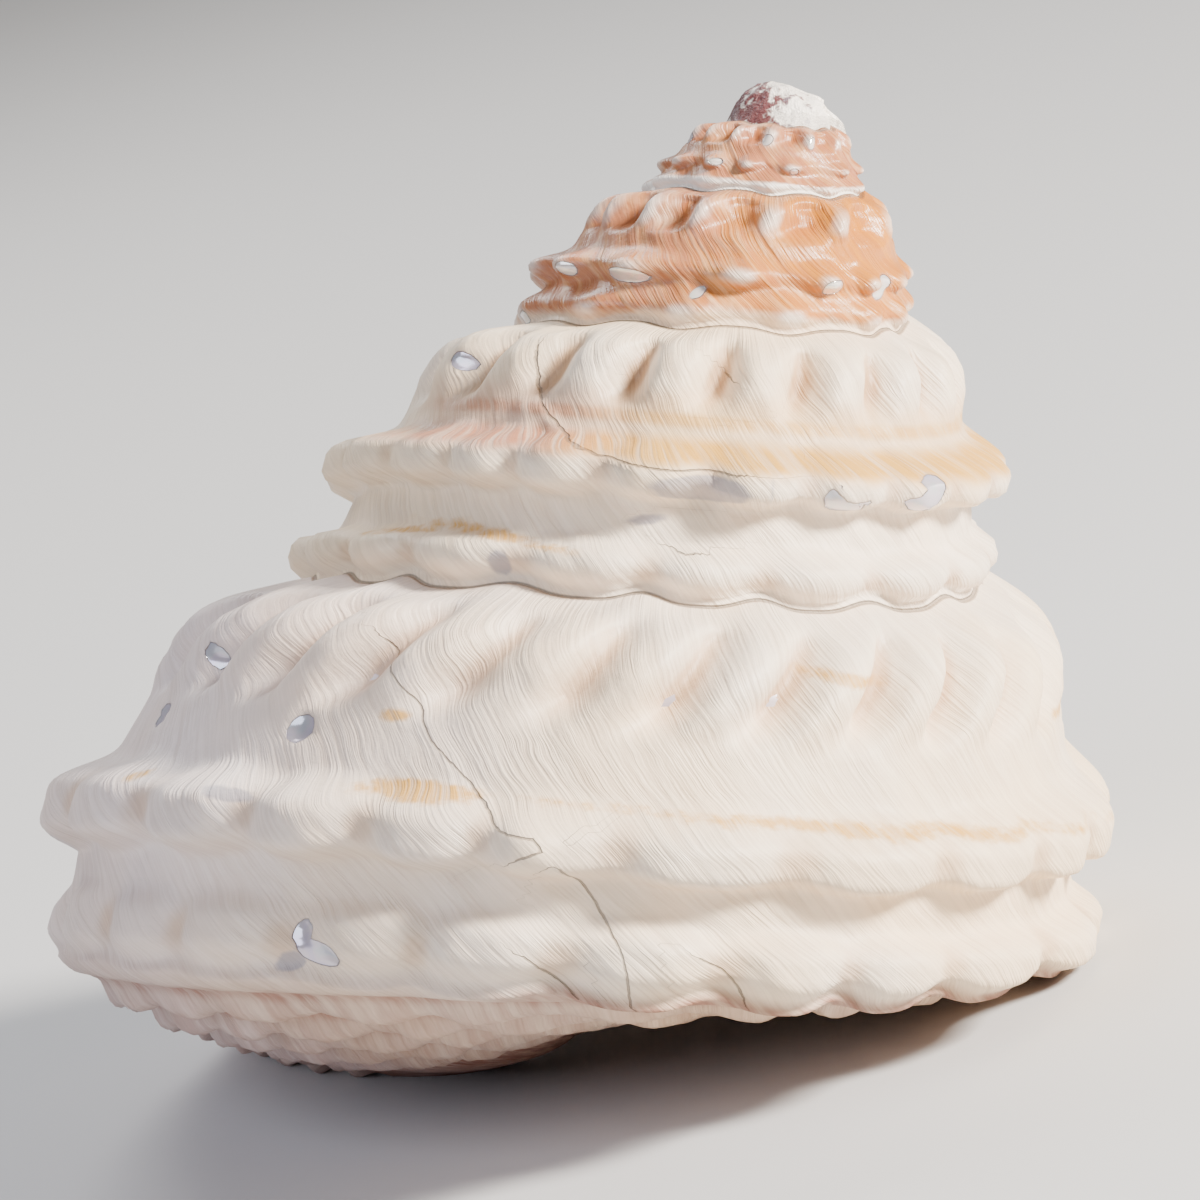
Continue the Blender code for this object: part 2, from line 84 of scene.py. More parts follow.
KEEL_WIDTH_ABOVE = [0.10, 0.085, 0.095, 0.088, 0.115, 0.080, 0.078, 0.092, 0.085]
KEEL_WIDTH_BELOW = [0.09, 0.080, 0.090, 0.085, 0.090, 0.080, 0.080, 0.090, 0.085]
LOWER_KEEL_BELOW = 0.07
FOLD_LEVEL = -0.65
PLAIN_FOLD_LEVEL = -0.3
PILLAR_OUT = [0.0, 0.05, 0.08, 0.12, 0.17, 0.30, 0.50, 0.80, 1.0]
PILLAR_RISE = [0.0, 0.10, 0.25, 0.50, 0.72, 0.86, 0.93, 0.97, 1.0]
BULGE_STATION = [5.0, 6.0, 6.3, 6.5, 6.6, 6.75, 7.0, 7.6, 8.0]
BULGE_DEPTH = [-2.0, -3.0, -3.5, 0.8, 5.3, 8.7, 10.2, 11.5, 11.5]
CORD_PLACE = [0.87, 0.77, 0.66, 0.55, 0.44]
CORD_HEIGHT = [2.6, 3.0, 2.8, 2.5, 2.0]
CORD_WIDTH = 0.032
CORD_SINK = 1.2
TUCK = 1.2

# Sizes on the grown whorls and on the young ones.
UPPER_KNOB = (0.045, 0.095)
LOWER_KNOB = (0.04, 0.06)
LOWER_KEEL_ABOVE = (0.066, 0.116)
KEEL_SAG = (0.011, 0.005)
FOLD_HEIGHT = (0.105, 0.13)

# Stations of the crests of the shoulder folds and of the two keels' knobs on the half turns in
# view, from the tip down. Then the number of steps across each hidden half turn between them,
# and the gap and the number of the steps before the first crest and after the last.
FOLDS = [
    [0.21, 0.39, 0.56, 0.70, 0.82, 0.93],
    [2.10, 2.317, 2.488, 2.642, 2.769, 2.874, 2.97],
    [4.02, 4.13, 4.235, 4.346, 4.462, 4.568, 4.67, 4.78, 4.89],
    [6.05, 6.137, 6.216, 6.291, 6.362, 6.44, 6.514, 6.583, 6.661, 6.738, 6.808, 6.88, 6.955],
]
UPPER_KNOBS = [
    [0.06, 0.226, 0.456, 0.60, 0.714, 0.86, 1.017],
    [2.133, 2.251, 2.35, 2.522, 2.725, 2.871, 2.973],
    [4.06, 4.16, 4.255, 4.35, 4.45, 4.55, 4.655, 4.725, 4.8, 4.9],
    [6.06, 6.145, 6.237, 6.335, 6.454, 6.551, 6.615, 6.695, 6.773, 6.874, 6.96],
]
LOWER_KNOBS = [
    [0.10, 0.30, 0.50, 0.70, 0.90],
    [2.139, 2.239, 2.42, 2.603, 2.767, 2.967],
    [4.12, 4.241, 4.367, 4.482, 4.586, 4.727, 4.82, 4.91],
    [6.09, 6.216, 6.306, 6.376, 6.47, 6.575, 6.641, 6.747, 6.819, 6.91, 7.0],
]
HIDDEN_STEPS = [7, 10, 12, 0]
BEFORE = (0.2, 12)
AFTER = (0.085, 14)

# How the shell lies at rest.
SPIN = -21.043
LEAN = 28.19
LEAN_TOWARD = 17.358
POLE_PLACE = (-8.0885, -6.1985, -2.2311)

# The photograph's view, in the shell's own frame: degrees and millimetres.
VIEW_PITCH = 3.0
VIEW_ROLL = 13.07
VIEW_TARGET = (-9.03, 0.0, 58.0)
VIEW_DISTANCE = 972.0
VIEW_WIDTH = 145.8

# Lights: name, place and size in metres, the setting that holds the power, and colour.
LIGHTS = [
    ("key", (0.90, -0.34, 0.52), 0.22, "key_power", (1.0, 0.95, 0.88)),
    ("fill", (-0.62, -0.50, 0.58), 0.60, "fill_power", (0.76, 0.83, 1.0)),
    ("back", (-0.15, 0.65, 0.70), 0.50, "fill_power", (1.0, 1.0, 1.0)),
]
LIGHT_AIM = (0.0, 0.0, 0.045)
SKY_COLOUR = (0.93, 0.95, 1.0, 1.0)

# Fineness of the surface.
STEPS_PER_TURN = 288
HALF = STEPS_PER_TURN // 2
LAG_STEPS = HALF // 4
TURN_BACK = STEPS_PER_TURN - LAG_STEPS
LAST = 1088
BODY_FIRST = LAST - STEPS_PER_TURN
BARE_FIRST = LAST - TURN_BACK
SIDE_ROWS = 96
BASE_ROWS = 72
HOLLOW_RINGS = 30
HOLLOW_DEPTH = 1.4
HOLLOW_DETAIL = 0.3
LIP_DEPTHS = (0.004, 0.010)
DEEPEST_DRAW = 0.7
TIP_RINGS = 16

# The two zone marks of a face: in the hollow, and on the tip.
OUTSIDE = (0.0, 0.0)
IN_HOLLOW = (1.0, 0.0)
ON_TIP = (0.0, 1.0)

# A distance that is past every mark, and the way down that the tip's faces are given, in
# millimetres, which keeps the sutures' dirt off them.
FAR_OFF = 9.0
TIP_DOWN = 100

# Sockets of the Mix node: the share and the two values, for numbers and for colours.
MIX_NUMBERS = (0, 2, 3)
MIX_COLOURS = (0, 6, 7)
MIX_COLOUR_OUT = 2

PEARL_STOPS = [
    (0.30, (0.52, 0.60, 0.70, 1)), (0.42, (0.66, 0.74, 0.68, 1)),
    (0.52, (0.86, 0.72, 0.72, 1)), (0.64, (0.70, 0.60, 0.76, 1)),
]

# Places on the shell: station, share of the way down, then sizes in millimetres and a tilt.
PEARL_CHIPS = [
    (6.873, 0.240, 1.0, 1.6, 10), (6.902, 0.398, 1.4, 1.8, 0), (6.739, 0.392, 2.0, 2.1, 0),
    (6.682, 0.880, 1.3, 1.7, 0), (6.668, 0.925, 2.9, 1.5, -12), (2.713, 0.658, 2.8, 0.8, 0),
    (2.586, 0.748, 0.8, 1.1, -20), (2.347, 0.639, 1.5, 1.1, 0), (2.200, 0.648, 2.0, 1.3, 30),
    (2.852, 0.626, 1.1, 0.8, 0), (2.946, 0.934, 0.9, 0.8, 0), (0.564, 0.237, 0.9, 0.9, 0),
    (0.381, 0.205, 0.7, 0.8, 0), (0.942, 0.272, 0.9, 0.9, 0), (0.699, 0.606, 0.6, 0.5, 0),
    (0.443, 0.646, 0.6, 0.5, 0), (4.869, 0.186, 1.7, 1.1, -20), (4.355, 0.560, 3.4, 2.3, 10),
    (4.262, 0.535, 3.2, 2.3, 20), (1.45, 0.30, 0.8, 0.7, 0), (3.52, 0.62, 1.6, 0.8, 0),
    (5.41, 0.57, 2.6, 1.0, 10), (7.31, 0.33, 1.6, 1.9, 20),
]
PEARL_ISLANDS = [(4.349, 0.520, 2.5, 1.5, 10), (4.288, 0.512, 2.6, 1.2, 0)]
GREY_SCARS = [
    (4.475, 0.566, 1.7, 1.4, 0), (4.550, 0.716, 2.6, 0.8, 10), (4.505, 0.575, 6.0, 1.9, 0),
    (4.440, 0.573, 0.35, 2.0, 0), (4.672, 0.919, 1.2, 1.8, 20), (6.745, 0.562, 2.9, 0.6, -15),
    (5.35, 0.60, 2.6, 1.4, 0), (7.25, 0.62, 3.0, 1.6, 20), (6.690, 0.955, 2.0, 1.2, 20),
]
CRACKS = [
    [(6.711, 0.160), (6.684, 0.235), (6.659, 0.308), (6.640, 0.391), (6.595, 0.509), (6.576, 0.565)],
    [(6.533, 0.650), (6.510, 0.742), (6.489, 0.857), (6.474, 0.984)],
    [(6.441, 0.868), (6.426, 0.895), (6.404, 0.976)],
    [(6.545, 0.890), (6.508, 0.995)],
    [(6.572, 0.575), (6.549, 0.578), (6.543, 0.606), (6.556, 0.632)],
    [(4.757, 0.115), (4.740, 0.256), (4.676, 0.403), (4.607, 0.496), (4.526, 0.509), (4.472, 0.508)],
    [(4.516, 0.817), (4.506, 0.832), (4.496, 0.824)],
    [(4.507, 0.160), (4.498, 0.178)],
    [(5.62, 0.22), (5.58, 0.34), (5.57, 0.47)],
]
ORANGE_MARKS = [
    (6.672, 0.340, 1.5, 0.8, 0), (6.634, 0.510, 6.2, 1.2, 0), (6.359, 0.155, 5.6, 0.7, -6),
    (6.844, 0.543, 1.0, 0.8, 0), (6.315, 0.522, 27.0, 0.45, -1), (6.072, 0.286, 3.0, 0.8, 10),
    (4.800, 0.820, 5.5, 0.55, 14), (4.695, 0.813, 8.0, 0.5, -8), (7.35, 0.52, 9.0, 0.7, 0),
    (5.55, 0.55, 12.0, 0.6, 0),
]


def ease(x, start, end):
    """Rise from 0 to 1 between start and end: three t squared less two t cubed."""
    t = np.clip((np.asarray(x, float) - start) / (end - start), 0.0, 1.0)
    return t * t * (3.0 - 2.0 * t)


def curve(x, xs, ys):
    """Smooth curve through given points: a cubic in each gap, its slopes averaged."""
    xs = np.asarray(xs, float)
    ys = np.asarray(ys, float)
    gap = np.diff(xs)
    slope = np.diff(ys) / gap
    lean = np.empty_like(ys)
    lean[0] = slope[0]
    lean[-1] = slope[-1]
    lean[1:-1] = (slope[:-1] * gap[1:] + slope[1:] * gap[:-1]) / (gap[1:] + gap[:-1])
    k = np.clip(np.searchsorted(xs, x) - 1, 0, len(gap) - 1)
    t = (x - xs[k]) / gap[k]
    low = (1 + 2 * t) * (1 - t) ** 2 * ys[k] + t * (1 - t) ** 2 * gap[k] * lean[k]
    high = t * t * (3 - 2 * t) * ys[k + 1] + t * t * (t - 1) * gap[k] * lean[k + 1]
    return low + high


def ripple(x, seed, terms=6):
    """Uneven waves between about -1 and 1: a sum of sines with seeded lengths and starts."""
    rng = np.random.default_rng(seed)
    speeds = rng.uniform(0.6, 1.9, terms)
    starts = rng.uniform(0, 2 * np.pi, terms)
    total = sum(np.sin(speed * x + start) for speed, start in zip(speeds, starts))
    return total / np.sqrt(terms) / 1.2


def keel(n):
    """Radius and height of the lower keel: smooth curves through the stations."""
    stations = FIRST_STATION + np.arange(len(KEEL_RADIUS))
    return np.exp(curve(n, stations, np.log(KEEL_RADIUS))), curve(n, stations, KEEL_HEIGHT)


def crest_line(groups):
    """Stations of all crests in order: the listed ones, with even steps between them."""
    first = groups[0][0]
    stations = [first - BEFORE[0] * step for step in range(BEFORE[1], 0, -1)]
    for group, steps in zip(groups, HIDDEN_STEPS):
        stations.extend(group)
        if steps:
            after = groups[groups.index(group) + 1][0]
            gap = (after - group[-1]) / steps
            stations.extend(group[-1] + gap * (k + 1) for k in range(steps - 1))
    last = stations[-1]
    stations.extend(last + AFTER[0] * (k + 1) for k in range(AFTER[1]))
    return np.array(stations)


FOLD_LINE = crest_line(FOLDS)
UPPER_LINE = crest_line(UPPER_KNOBS)
LOWER_LINE = crest_line(LOWER_KNOBS)


def crest_count(n, line):
    """Number of crests grown by station n: a straight run from each crest to the next."""
    return np.interp(n, line, np.arange(len(line)))


def by_age(sizes, young):
    """A size between its value on the grown whorls and its value on the young ones."""
    return sizes[0] + (sizes[1] - sizes[0]) * young


def knob_wave(n, line, shift=0.0):
    """Knobs between -1 and 1: beads with wide gaps when young, broad lobes later."""
    turn = np.cos(2 * np.pi * (crest_count(n, line) + shift))
    bead = 2 * ((1 + turn) / 2) ** 1.5 - 1
    lobe = 1 - 2 * ((1 - turn) / 2) ** 1.8
    grown = ease(n, 2.9, 4.0)
    return bead + (lobe - bead) * grown


def suture(n, detail=0.0):
    """Line under the lower keel, where the next whorl is fastened: it dips under each knob."""
    radius, height = keel(n)
    dip = detail * knob_wave(n, LOWER_LINE) * (0.10 + 0.012 * radius)
    dip = dip * (1 - 0.7 * ease(n, 6.45, 6.7))
    drop = curve(n, SUTURE_STATION, SUTURE_DROP)
    return radius * (1 - SUTURE_INSET) + 0.4 * dip, height - drop * radius - dip


def lag(s):
    """Sweep of a growth line, in half turns: it falls back down the side and in to the pole."""
    side = 0.25 * np.clip(s, 0, 1) ** 1.4
    under = 0.17 * (1 - np.clip(2 - s, 0, 1) ** 1.6)
    return side + under


def upper_keel_place(n):
    """Share of the way down the whorl at which the upper keel lies."""
    return curve(n, UPPER_PLACE_STATION, UPPER_PLACE)


def row_place(n, t):
    """Row t as a share of the way down: two straight stretches that meet at the upper keel."""
    place = upper_keel_place(n)
    below = place + (t - KEEL_ROW) / (1 - KEEL_ROW) * (1 - place)
    return np.where(t < KEEL_ROW, t / KEEL_ROW * place, below)


def fold_wave(n, q):
    """Height of the shoulder folds, which sweep back a little as they run down."""
    slant = -0.05 - 0.38 * ease(n, 4.5, 6.2)
    return knob_wave(n, FOLD_LINE, slant * (q - 0.16) / 0.2)


def keel_shape(past, above, below, knob, young):
    """A keel's section, 1 on its crest: a round back above and a steeper fall below."""
    wide = np.where(past < 0, above, below) * (1 + 0.10 * knob)
    power = np.where(past < 0, 3.5 - 1.2 * young, 5.6 - 2.8 * young)
    return np.exp(-np.abs(past / wide) ** power)


def side(n, t, detail):
    """Whorl's side: the profile with two rounded keels, their knobs, and the shoulder folds."""
    top_r, top_z = suture(n - 2)
    low_r, low_z = suture(n)
    reach = keel(n)[0] - top_r
    q = row_place(n, t)
    upper = upper_keel_place(n)
    lower = curve(n, LOWER_PLACE_STATION, LOWER_PLACE)
    adult = ease(n, 5.5, 6.9)
    young = 1 - ease(n, 2.8, 4.2)
    out = curve(q, YOUNG_DOWN, YOUNG_OUT) * (1 - adult) + curve(q, ADULT_DOWN, ADULT_OUT) * adult
    upper_knob = detail * knob_wave(n, UPPER_LINE) * (1 + 0.3 * ripple(9 * n, 5))
    lower_knob = detail * knob_wave(n, LOWER_LINE) * (1 + 0.3 * ripple(11 * n, 6))
    upper_out = curve(n, UPPER_KEEL_STATION, UPPER_KEEL_OUT) + by_age(UPPER_KNOB, young) * upper_knob
    lower_out = curve(n, LOWER_KEEL_STATION, LOWER_KEEL_OUT) + by_age(LOWER_KNOB, young) * lower_knob
    above = curve(n, KEEL_WIDTH_STATION, KEEL_WIDTH_ABOVE)
    below = curve(n, KEEL_WIDTH_STATION, KEEL_WIDTH_BELOW)
    on_upper = keel_shape(q - upper, above, below, upper_knob, young)
    above = by_age(LOWER_KEEL_ABOVE, young)
    on_lower = keel_shape(q - lower, above, LOWER_KEEL_BELOW, lower_knob, young)
    out = out + (upper_out - out) * on_upper
    out = out + (lower_out - out) * on_lower
    fold = ease(q, 0.015, 0.10) * (1 - ease(q, 0.22 + 0.03 * adult, 0.36))
    wave = FOLD_LEVEL + fold_wave(n, q) * (1 + 0.2 * ripple(14 * n, 7))
    level = detail * wave + (1 - detail) * PLAIN_FOLD_LEVEL
    out = out + by_age(FOLD_HEIGHT, young) * fold * level
    foot = (low_r - top_r) / reach
    out = out + (foot - out) * ease(q, lower + 0.02, 1.0) ** 1.5
    r = top_r + out * reach
    sag = by_age(KEEL_SAG, young) * (1 + 0.5 * upper_knob)
    z = top_z + q * (low_z - top_z) - sag * keel(n)[0] * on_upper
    top_wave = suture(n - 2, detail)
    low_wave = suture(n, detail)
    near_top = 1 - ease(q, 0.0, 0.10)
    near_foot = ease(q, 0.86, 1.0)
    r = r + (top_wave[0] - top_r) * near_top + (low_wave[0] - low_r) * near_foot
    z = z + (top_wave[1] - top_z) * near_top + (low_wave[1] - low_z) * near_foot
    return r, z


def cord(n, f, order):
    """One base cord's section, about 1 on its back, with a bead for each knob of the lower keel."""
    turn = 2 * np.pi * (crest_count(n, LOWER_LINE) + 0.3 * order)
    bead = 0.92 + (0.24 - 0.04 * order) * np.cos(turn)
    shift = f - CORD_PLACE[order] - 0.008 * np.sin(turn)
    return bead * np.exp(-np.abs(shift / CORD_WIDTH) ** 2.3)


def base(n, f, detail):
    """Underside: a line from the foot to the pole, tucked and bulged, with sunk grooves and cords."""
    low_r, low_z = suture(n)
    tuck = -TUCK * (1 - np.exp(-(1 - f) / 0.025)) * f ** 3 * ease(n, 6.45, 6.9)
    bulge = curve(n, BULGE_STATION, BULGE_DEPTH) * (1 - f ** 2.2) * (1 - np.exp(-f / 0.2))
    plain = POLE_HEIGHT + (low_z - POLE_HEIGHT) * f + tuck - bulge
    for order, high in enumerate(CORD_HEIGHT):
        plain = plain - detail * high * cord(n, f, order) * ease(n, 5.7, 6.2)
    sunk = ease(f, 0.36, 0.44) * (1 - ease(f, 0.90, 0.97))
    plain = plain + detail * CORD_SINK * sunk * ease(n, 5.7, 6.2)
    wave = suture(n, detail)
    plain = plain + (wave[1] - low_z) * ease(f, 0.94, 1.0)
    pillar = POLE_HEIGHT + (low_z - POLE_HEIGHT) * curve(f, PILLAR_OUT, PILLAR_RISE)
    inner = 1 - ease(n, 5.6, 6.3)
    r = f * (low_r + (wave[0] - low_r) * ease(f, 0.94, 1.0))
    return r, plain * (1 - inner) + pillar * inner + (wave[1] - low_z) * inner * ease(f, 0.94, 1.0)


# Small relief, in millimetres: growth steps, dents in the chips, scars, one lump on the upper keel
# and the step of a healed break, with the line that the break follows.
FINE_STEP = 0.11
COARSE_STEP = 0.12
CHIP_DENT = 0.5
SCAR_DENT = 0.35
LUMP_PLACE = (6.556, 0.605)
LUMP_SIZE = (3.1, 2.8)
LUMP_HEIGHT = 1.5
BREAK_STEP = 0.75
BREAK_FADE = 9
BREAK_ROW = [0.08, 0.115, 0.256, 0.403, 0.496, 0.54, 0.60]
BREAK_STATION = [4.765, 4.757, 4.740, 4.676, 4.607, 4.50, 4.30]
BASE_ROUGH = 0.15


def local_place(n, q, mark_n, mark_q):
    """Millimetres round and down the whorl from a mark: arc length, and height times 1.1."""
    radius = keel(mark_n)[0] * 0.93
    height = suture(mark_n - 2)[1] - suture(mark_n)[1]
    return (n - mark_n) * np.pi * radius, (q - mark_q) * height * 1.1


def spot_distance(n, q, spots):
    """Signed distance to the nearest of several tilted ellipses, less than 0 inside."""
    nearest = np.full(n.shape, FAR_OFF)
    for mark_n, mark_q, wide, high, tilt in spots:
        across, down = local_place(n, q, mark_n, mark_q)
        cos, sin = np.cos(radians(tilt)), np.sin(radians(tilt))
        along = (across * cos + down * sin) / wide
        over = (down * cos - across * sin) / high
        distance = (np.hypot(along, over) - 1) * min(wide, high)
        nearest = np.minimum(nearest, distance)
    return nearest


def pearl_distance(n, q):
    """Signed distance to the pearly chips, less the islands of chalk left standing in them."""
    return np.maximum(spot_distance(n, q, PEARL_CHIPS), -spot_distance(n, q, PEARL_ISLANDS))


def crack_distance(n, q):
    """Signed distance to the nearest crack, with its sign from the side it is seen from."""
    nearest = np.full(n.shape, FAR_OFF)
    for line in CRACKS:
        for (start_n, start_q), (end_n, end_q) in zip(line[:-1], line[1:]):
            across, down = local_place(n, q, start_n, start_q)
            run, fall = local_place(end_n, end_q, start_n, start_q)
            length = np.hypot(run, fall)
            along = np.clip((across * run + down * fall) / length ** 2, 0, 1)
            gap = np.hypot(across - along * run, down - along * fall)
            gap = np.where(across * fall - down * run < 0, -gap, gap)
            nearest = np.where(np.abs(gap) < np.abs(nearest), gap, nearest)
    return nearest


def growth_length(n):
    """Millimetres grown by station n, measured on the flank: the sum of arc lengths."""
    marks = np.linspace(-3.0, 8.5, 1200)
    steps = np.pi * 0.85 * keel(np.clip(marks, -2, 8))[0] * (marks[1] - marks[0])
    return np.interp(n, marks, np.cumsum(steps))


def wear(i, n, q):
    """Small relief: growth steps, dents in chips and scars, a healed break and a lump."""
    inside = ease(q, 0.0, 0.05) * (1 - ease(q, 0.93, 1.0))
    grown = growth_length(i)
    steps = FINE_STEP * ripple(grown / 1.1, 11) + COARSE_STEP * ripple(grown / 2.6, 12)
    dents = -CHIP_DENT * (1 - ease(pearl_distance(n, q), -0.5, 0.25)) * ease(n, 3.0, 4.0)
    scars = -SCAR_DENT * (1 - ease(spot_distance(n, q, GREY_SCARS), -0.6, 0.5))
    across, down = local_place(n, q, *LUMP_PLACE)
    lump = LUMP_HEIGHT * np.exp(-(np.hypot(across / LUMP_SIZE[0], down / LUMP_SIZE[1])) ** 4)
    past = (n - np.interp(q, BREAK_ROW, BREAK_STATION)) * np.pi * keel(4.6)[0]
    healed = BREAK_STEP * ease(past, -0.4, 0.4) * np.exp(-np.clip(past, 0, None) / BREAK_FADE)
    healed = healed * ease(q, 0.10, 0.18) * (1 - ease(q, 0.56, 0.6)) * ease(n, 4.2, 4.4)
    healed = healed * (1 - ease(n, 4.85, 5.2))
    return inside * steps + dents + scars + lump + healed


def surface(i, t, detail=1.0, worn=True):
    """Point on growth line i at row t, 0 to 1 down the side and 1 to 2 in to the pole."""
    i, t = np.broadcast_arrays(np.asarray(i, float), np.asarray(t, float))
    n = i - lag(t)
    side_r, side_z = side(n, np.clip(t, 0, 1), detail)
    base_r, base_z = base(n, np.clip(2 - t, 0, 1), detail)
    if worn:
        relief = wear(i, n, row_place(n, np.clip(t, 0, 1)))
        side_r = side_r + relief * np.clip(side_r / 20, 0.35, 1)
        grown = growth_length(i)
        rough = BASE_ROUGH * ripple(grown / 1.3, 13) * ease(2 - t, 0.0, 0.3) * ease(t, 1.0, 1.06)
        base_z = base_z + rough
    r = np.where(t > 1, base_r, side_r)
    z = np.where(t > 1, base_z, side_z)
    turn = -np.pi * (n - 6)
    return np.stack([r * np.cos(turn), r * np.sin(turn), z], axis=-1)


def rest_pose():
    """Matrix from the shell's own frame, in millimetres, to the world, in metres."""
    spin = Matrix.Rotation(radians(SPIN), 4, "Z")
    lean = Matrix.Rotation(radians(LEAN), 4, "Y")
    turn = Matrix.Rotation(radians(LEAN_TOWARD), 4, "Z")
    place = Matrix.Translation([value * MM for value in POLE_PLACE])
    return place @ turn @ lean @ spin @ Matrix.Scale(MM, 4)


class Patchwork:
    """Vertices, faces and what each face corner knows, gathered as whole arrays."""

    def __init__(self):
        self.places = []
        self.total = 0
        self.faces = []

    def add_places(self, places):
        """Add vertices and give back their numbers in the shape of the grid."""
        flat = places.reshape(-1, 3)
        numbers = self.total + np.arange(len(flat))
        self.places.append(flat)
        self.total += len(flat)
        return numbers.reshape(places.shape[:-1])

    def add_faces(self, corners, growth, rows, zone):
        """Add faces: corner numbers, with growth line, row and zone at each corner."""
        zone = np.broadcast_to(np.asarray(zone, float), corners.shape + (2,))
        self.faces.append((corners, growth, rows, zone))

    def add_grid(self, numbers, growth, rows, zone=OUTSIDE):
        """Add every cell of a grid as a face."""
        self.add_faces(*[grid_corners(values) for values in (numbers, growth, rows)], zone)

    def add_fan(self, ring, middle, growth, row, zone):
        """Close a ring of vertices with triangles round one in its middle."""
        ends = np.stack([ring[1:], ring[:-1], np.full(len(ring) - 1, middle)], axis=-1)
        self.add_faces(ends, np.full(ends.shape, growth), np.full(ends.shape, row), zone)


def grid_corners(values):
    """The four corner values of each cell of a grid, in the order that faces outward."""
    parts = [values[:-1, :-1], values[1:, :-1], values[1:, 1:], values[:-1, 1:]]
    return np.stack(parts, axis=-1).reshape(-1, 4)


def side_rows():
    """Rows down the side, closer together on the two keels."""
    even = np.linspace(0, 1, SIDE_ROWS + 1)
    pull = 0.018 * np.sin(2 * np.pi * even / 0.3)
    return even + pull * ease(even, 0.3, 0.45) * (1 - ease(even, 0.95, 1.0))


def base_rows():
    """Rows of the underside, from the foot in to the pole."""
    return 1 + np.linspace(0, 1, BASE_ROWS + 1) ** 1.05


def add_sides(patch):
    """Whorl sides: a coarser grid on the spire and one twice as fine on the last whorl."""
    rows = side_rows()
    columns = np.arange(LAST + 1)
    growth = columns[:, None] / HALF + 0 * rows[None, :]
    numbers = np.full((LAST + 1, SIDE_ROWS + 1), -1)
    spire = surface(growth[:BODY_FIRST, 2::2], rows[2::2])
    numbers[:BODY_FIRST, 2::2] = patch.add_places(spire)
    body = surface(growth[BODY_FIRST:, 1:], rows[1:])
    numbers[BODY_FIRST:, 1:] = patch.add_places(body)
    numbers[TURN_BACK:, 0] = numbers[: LAST + 1 - TURN_BACK, SIDE_ROWS]
    numbers[:TURN_BACK, 0] = patch.add_places(surface(growth[:TURN_BACK, 0], 0.0))
    grid = (numbers, growth, np.broadcast_to(rows, numbers.shape))
    patch.add_grid(*[values[:BODY_FIRST, ::2] for values in grid])
    patch.add_grid(*[values[BODY_FIRST:] for values in grid])
    joins = []
    for values in grid:
        left, right = values[BODY_FIRST - 1], values[BODY_FIRST]
        parts = [left[0:-1:2], right[0:-1:2], right[1::2], right[2::2], left[2::2]]
        joins.append(np.stack(parts, axis=-1))
    patch.add_faces(*joins, OUTSIDE)
    return grid


def add_base(patch, side_numbers):
    """Underside of the last whorl: a grid that closes on the pole with triangles."""
    rows = base_rows()
    columns = np.arange(BARE_FIRST, LAST + 1)
    growth = columns[:, None] / HALF + 0 * rows[None, :]
    numbers = np.empty(growth.shape, int)
    numbers[:, 0] = side_numbers[BARE_FIRST:, SIDE_ROWS]
    inner = surface(growth[:, 1:-1], rows[1:-1])
    numbers[:, 1:-1] = patch.add_places(inner)
    pole = patch.add_places(np.array([[0.0, 0.0, POLE_HEIGHT]]))[0]
    numbers[:, -1] = pole
    grid = (numbers, growth, np.broadcast_to(rows, numbers.shape))
    patch.add_grid(*[values[:, :-1] for values in grid])
    tips = [np.stack([values[1:, -2], values[:-1, -1], values[:-1, -2]], axis=-1) for values in grid]
    patch.add_faces(*tips, OUTSIDE)
    return grid


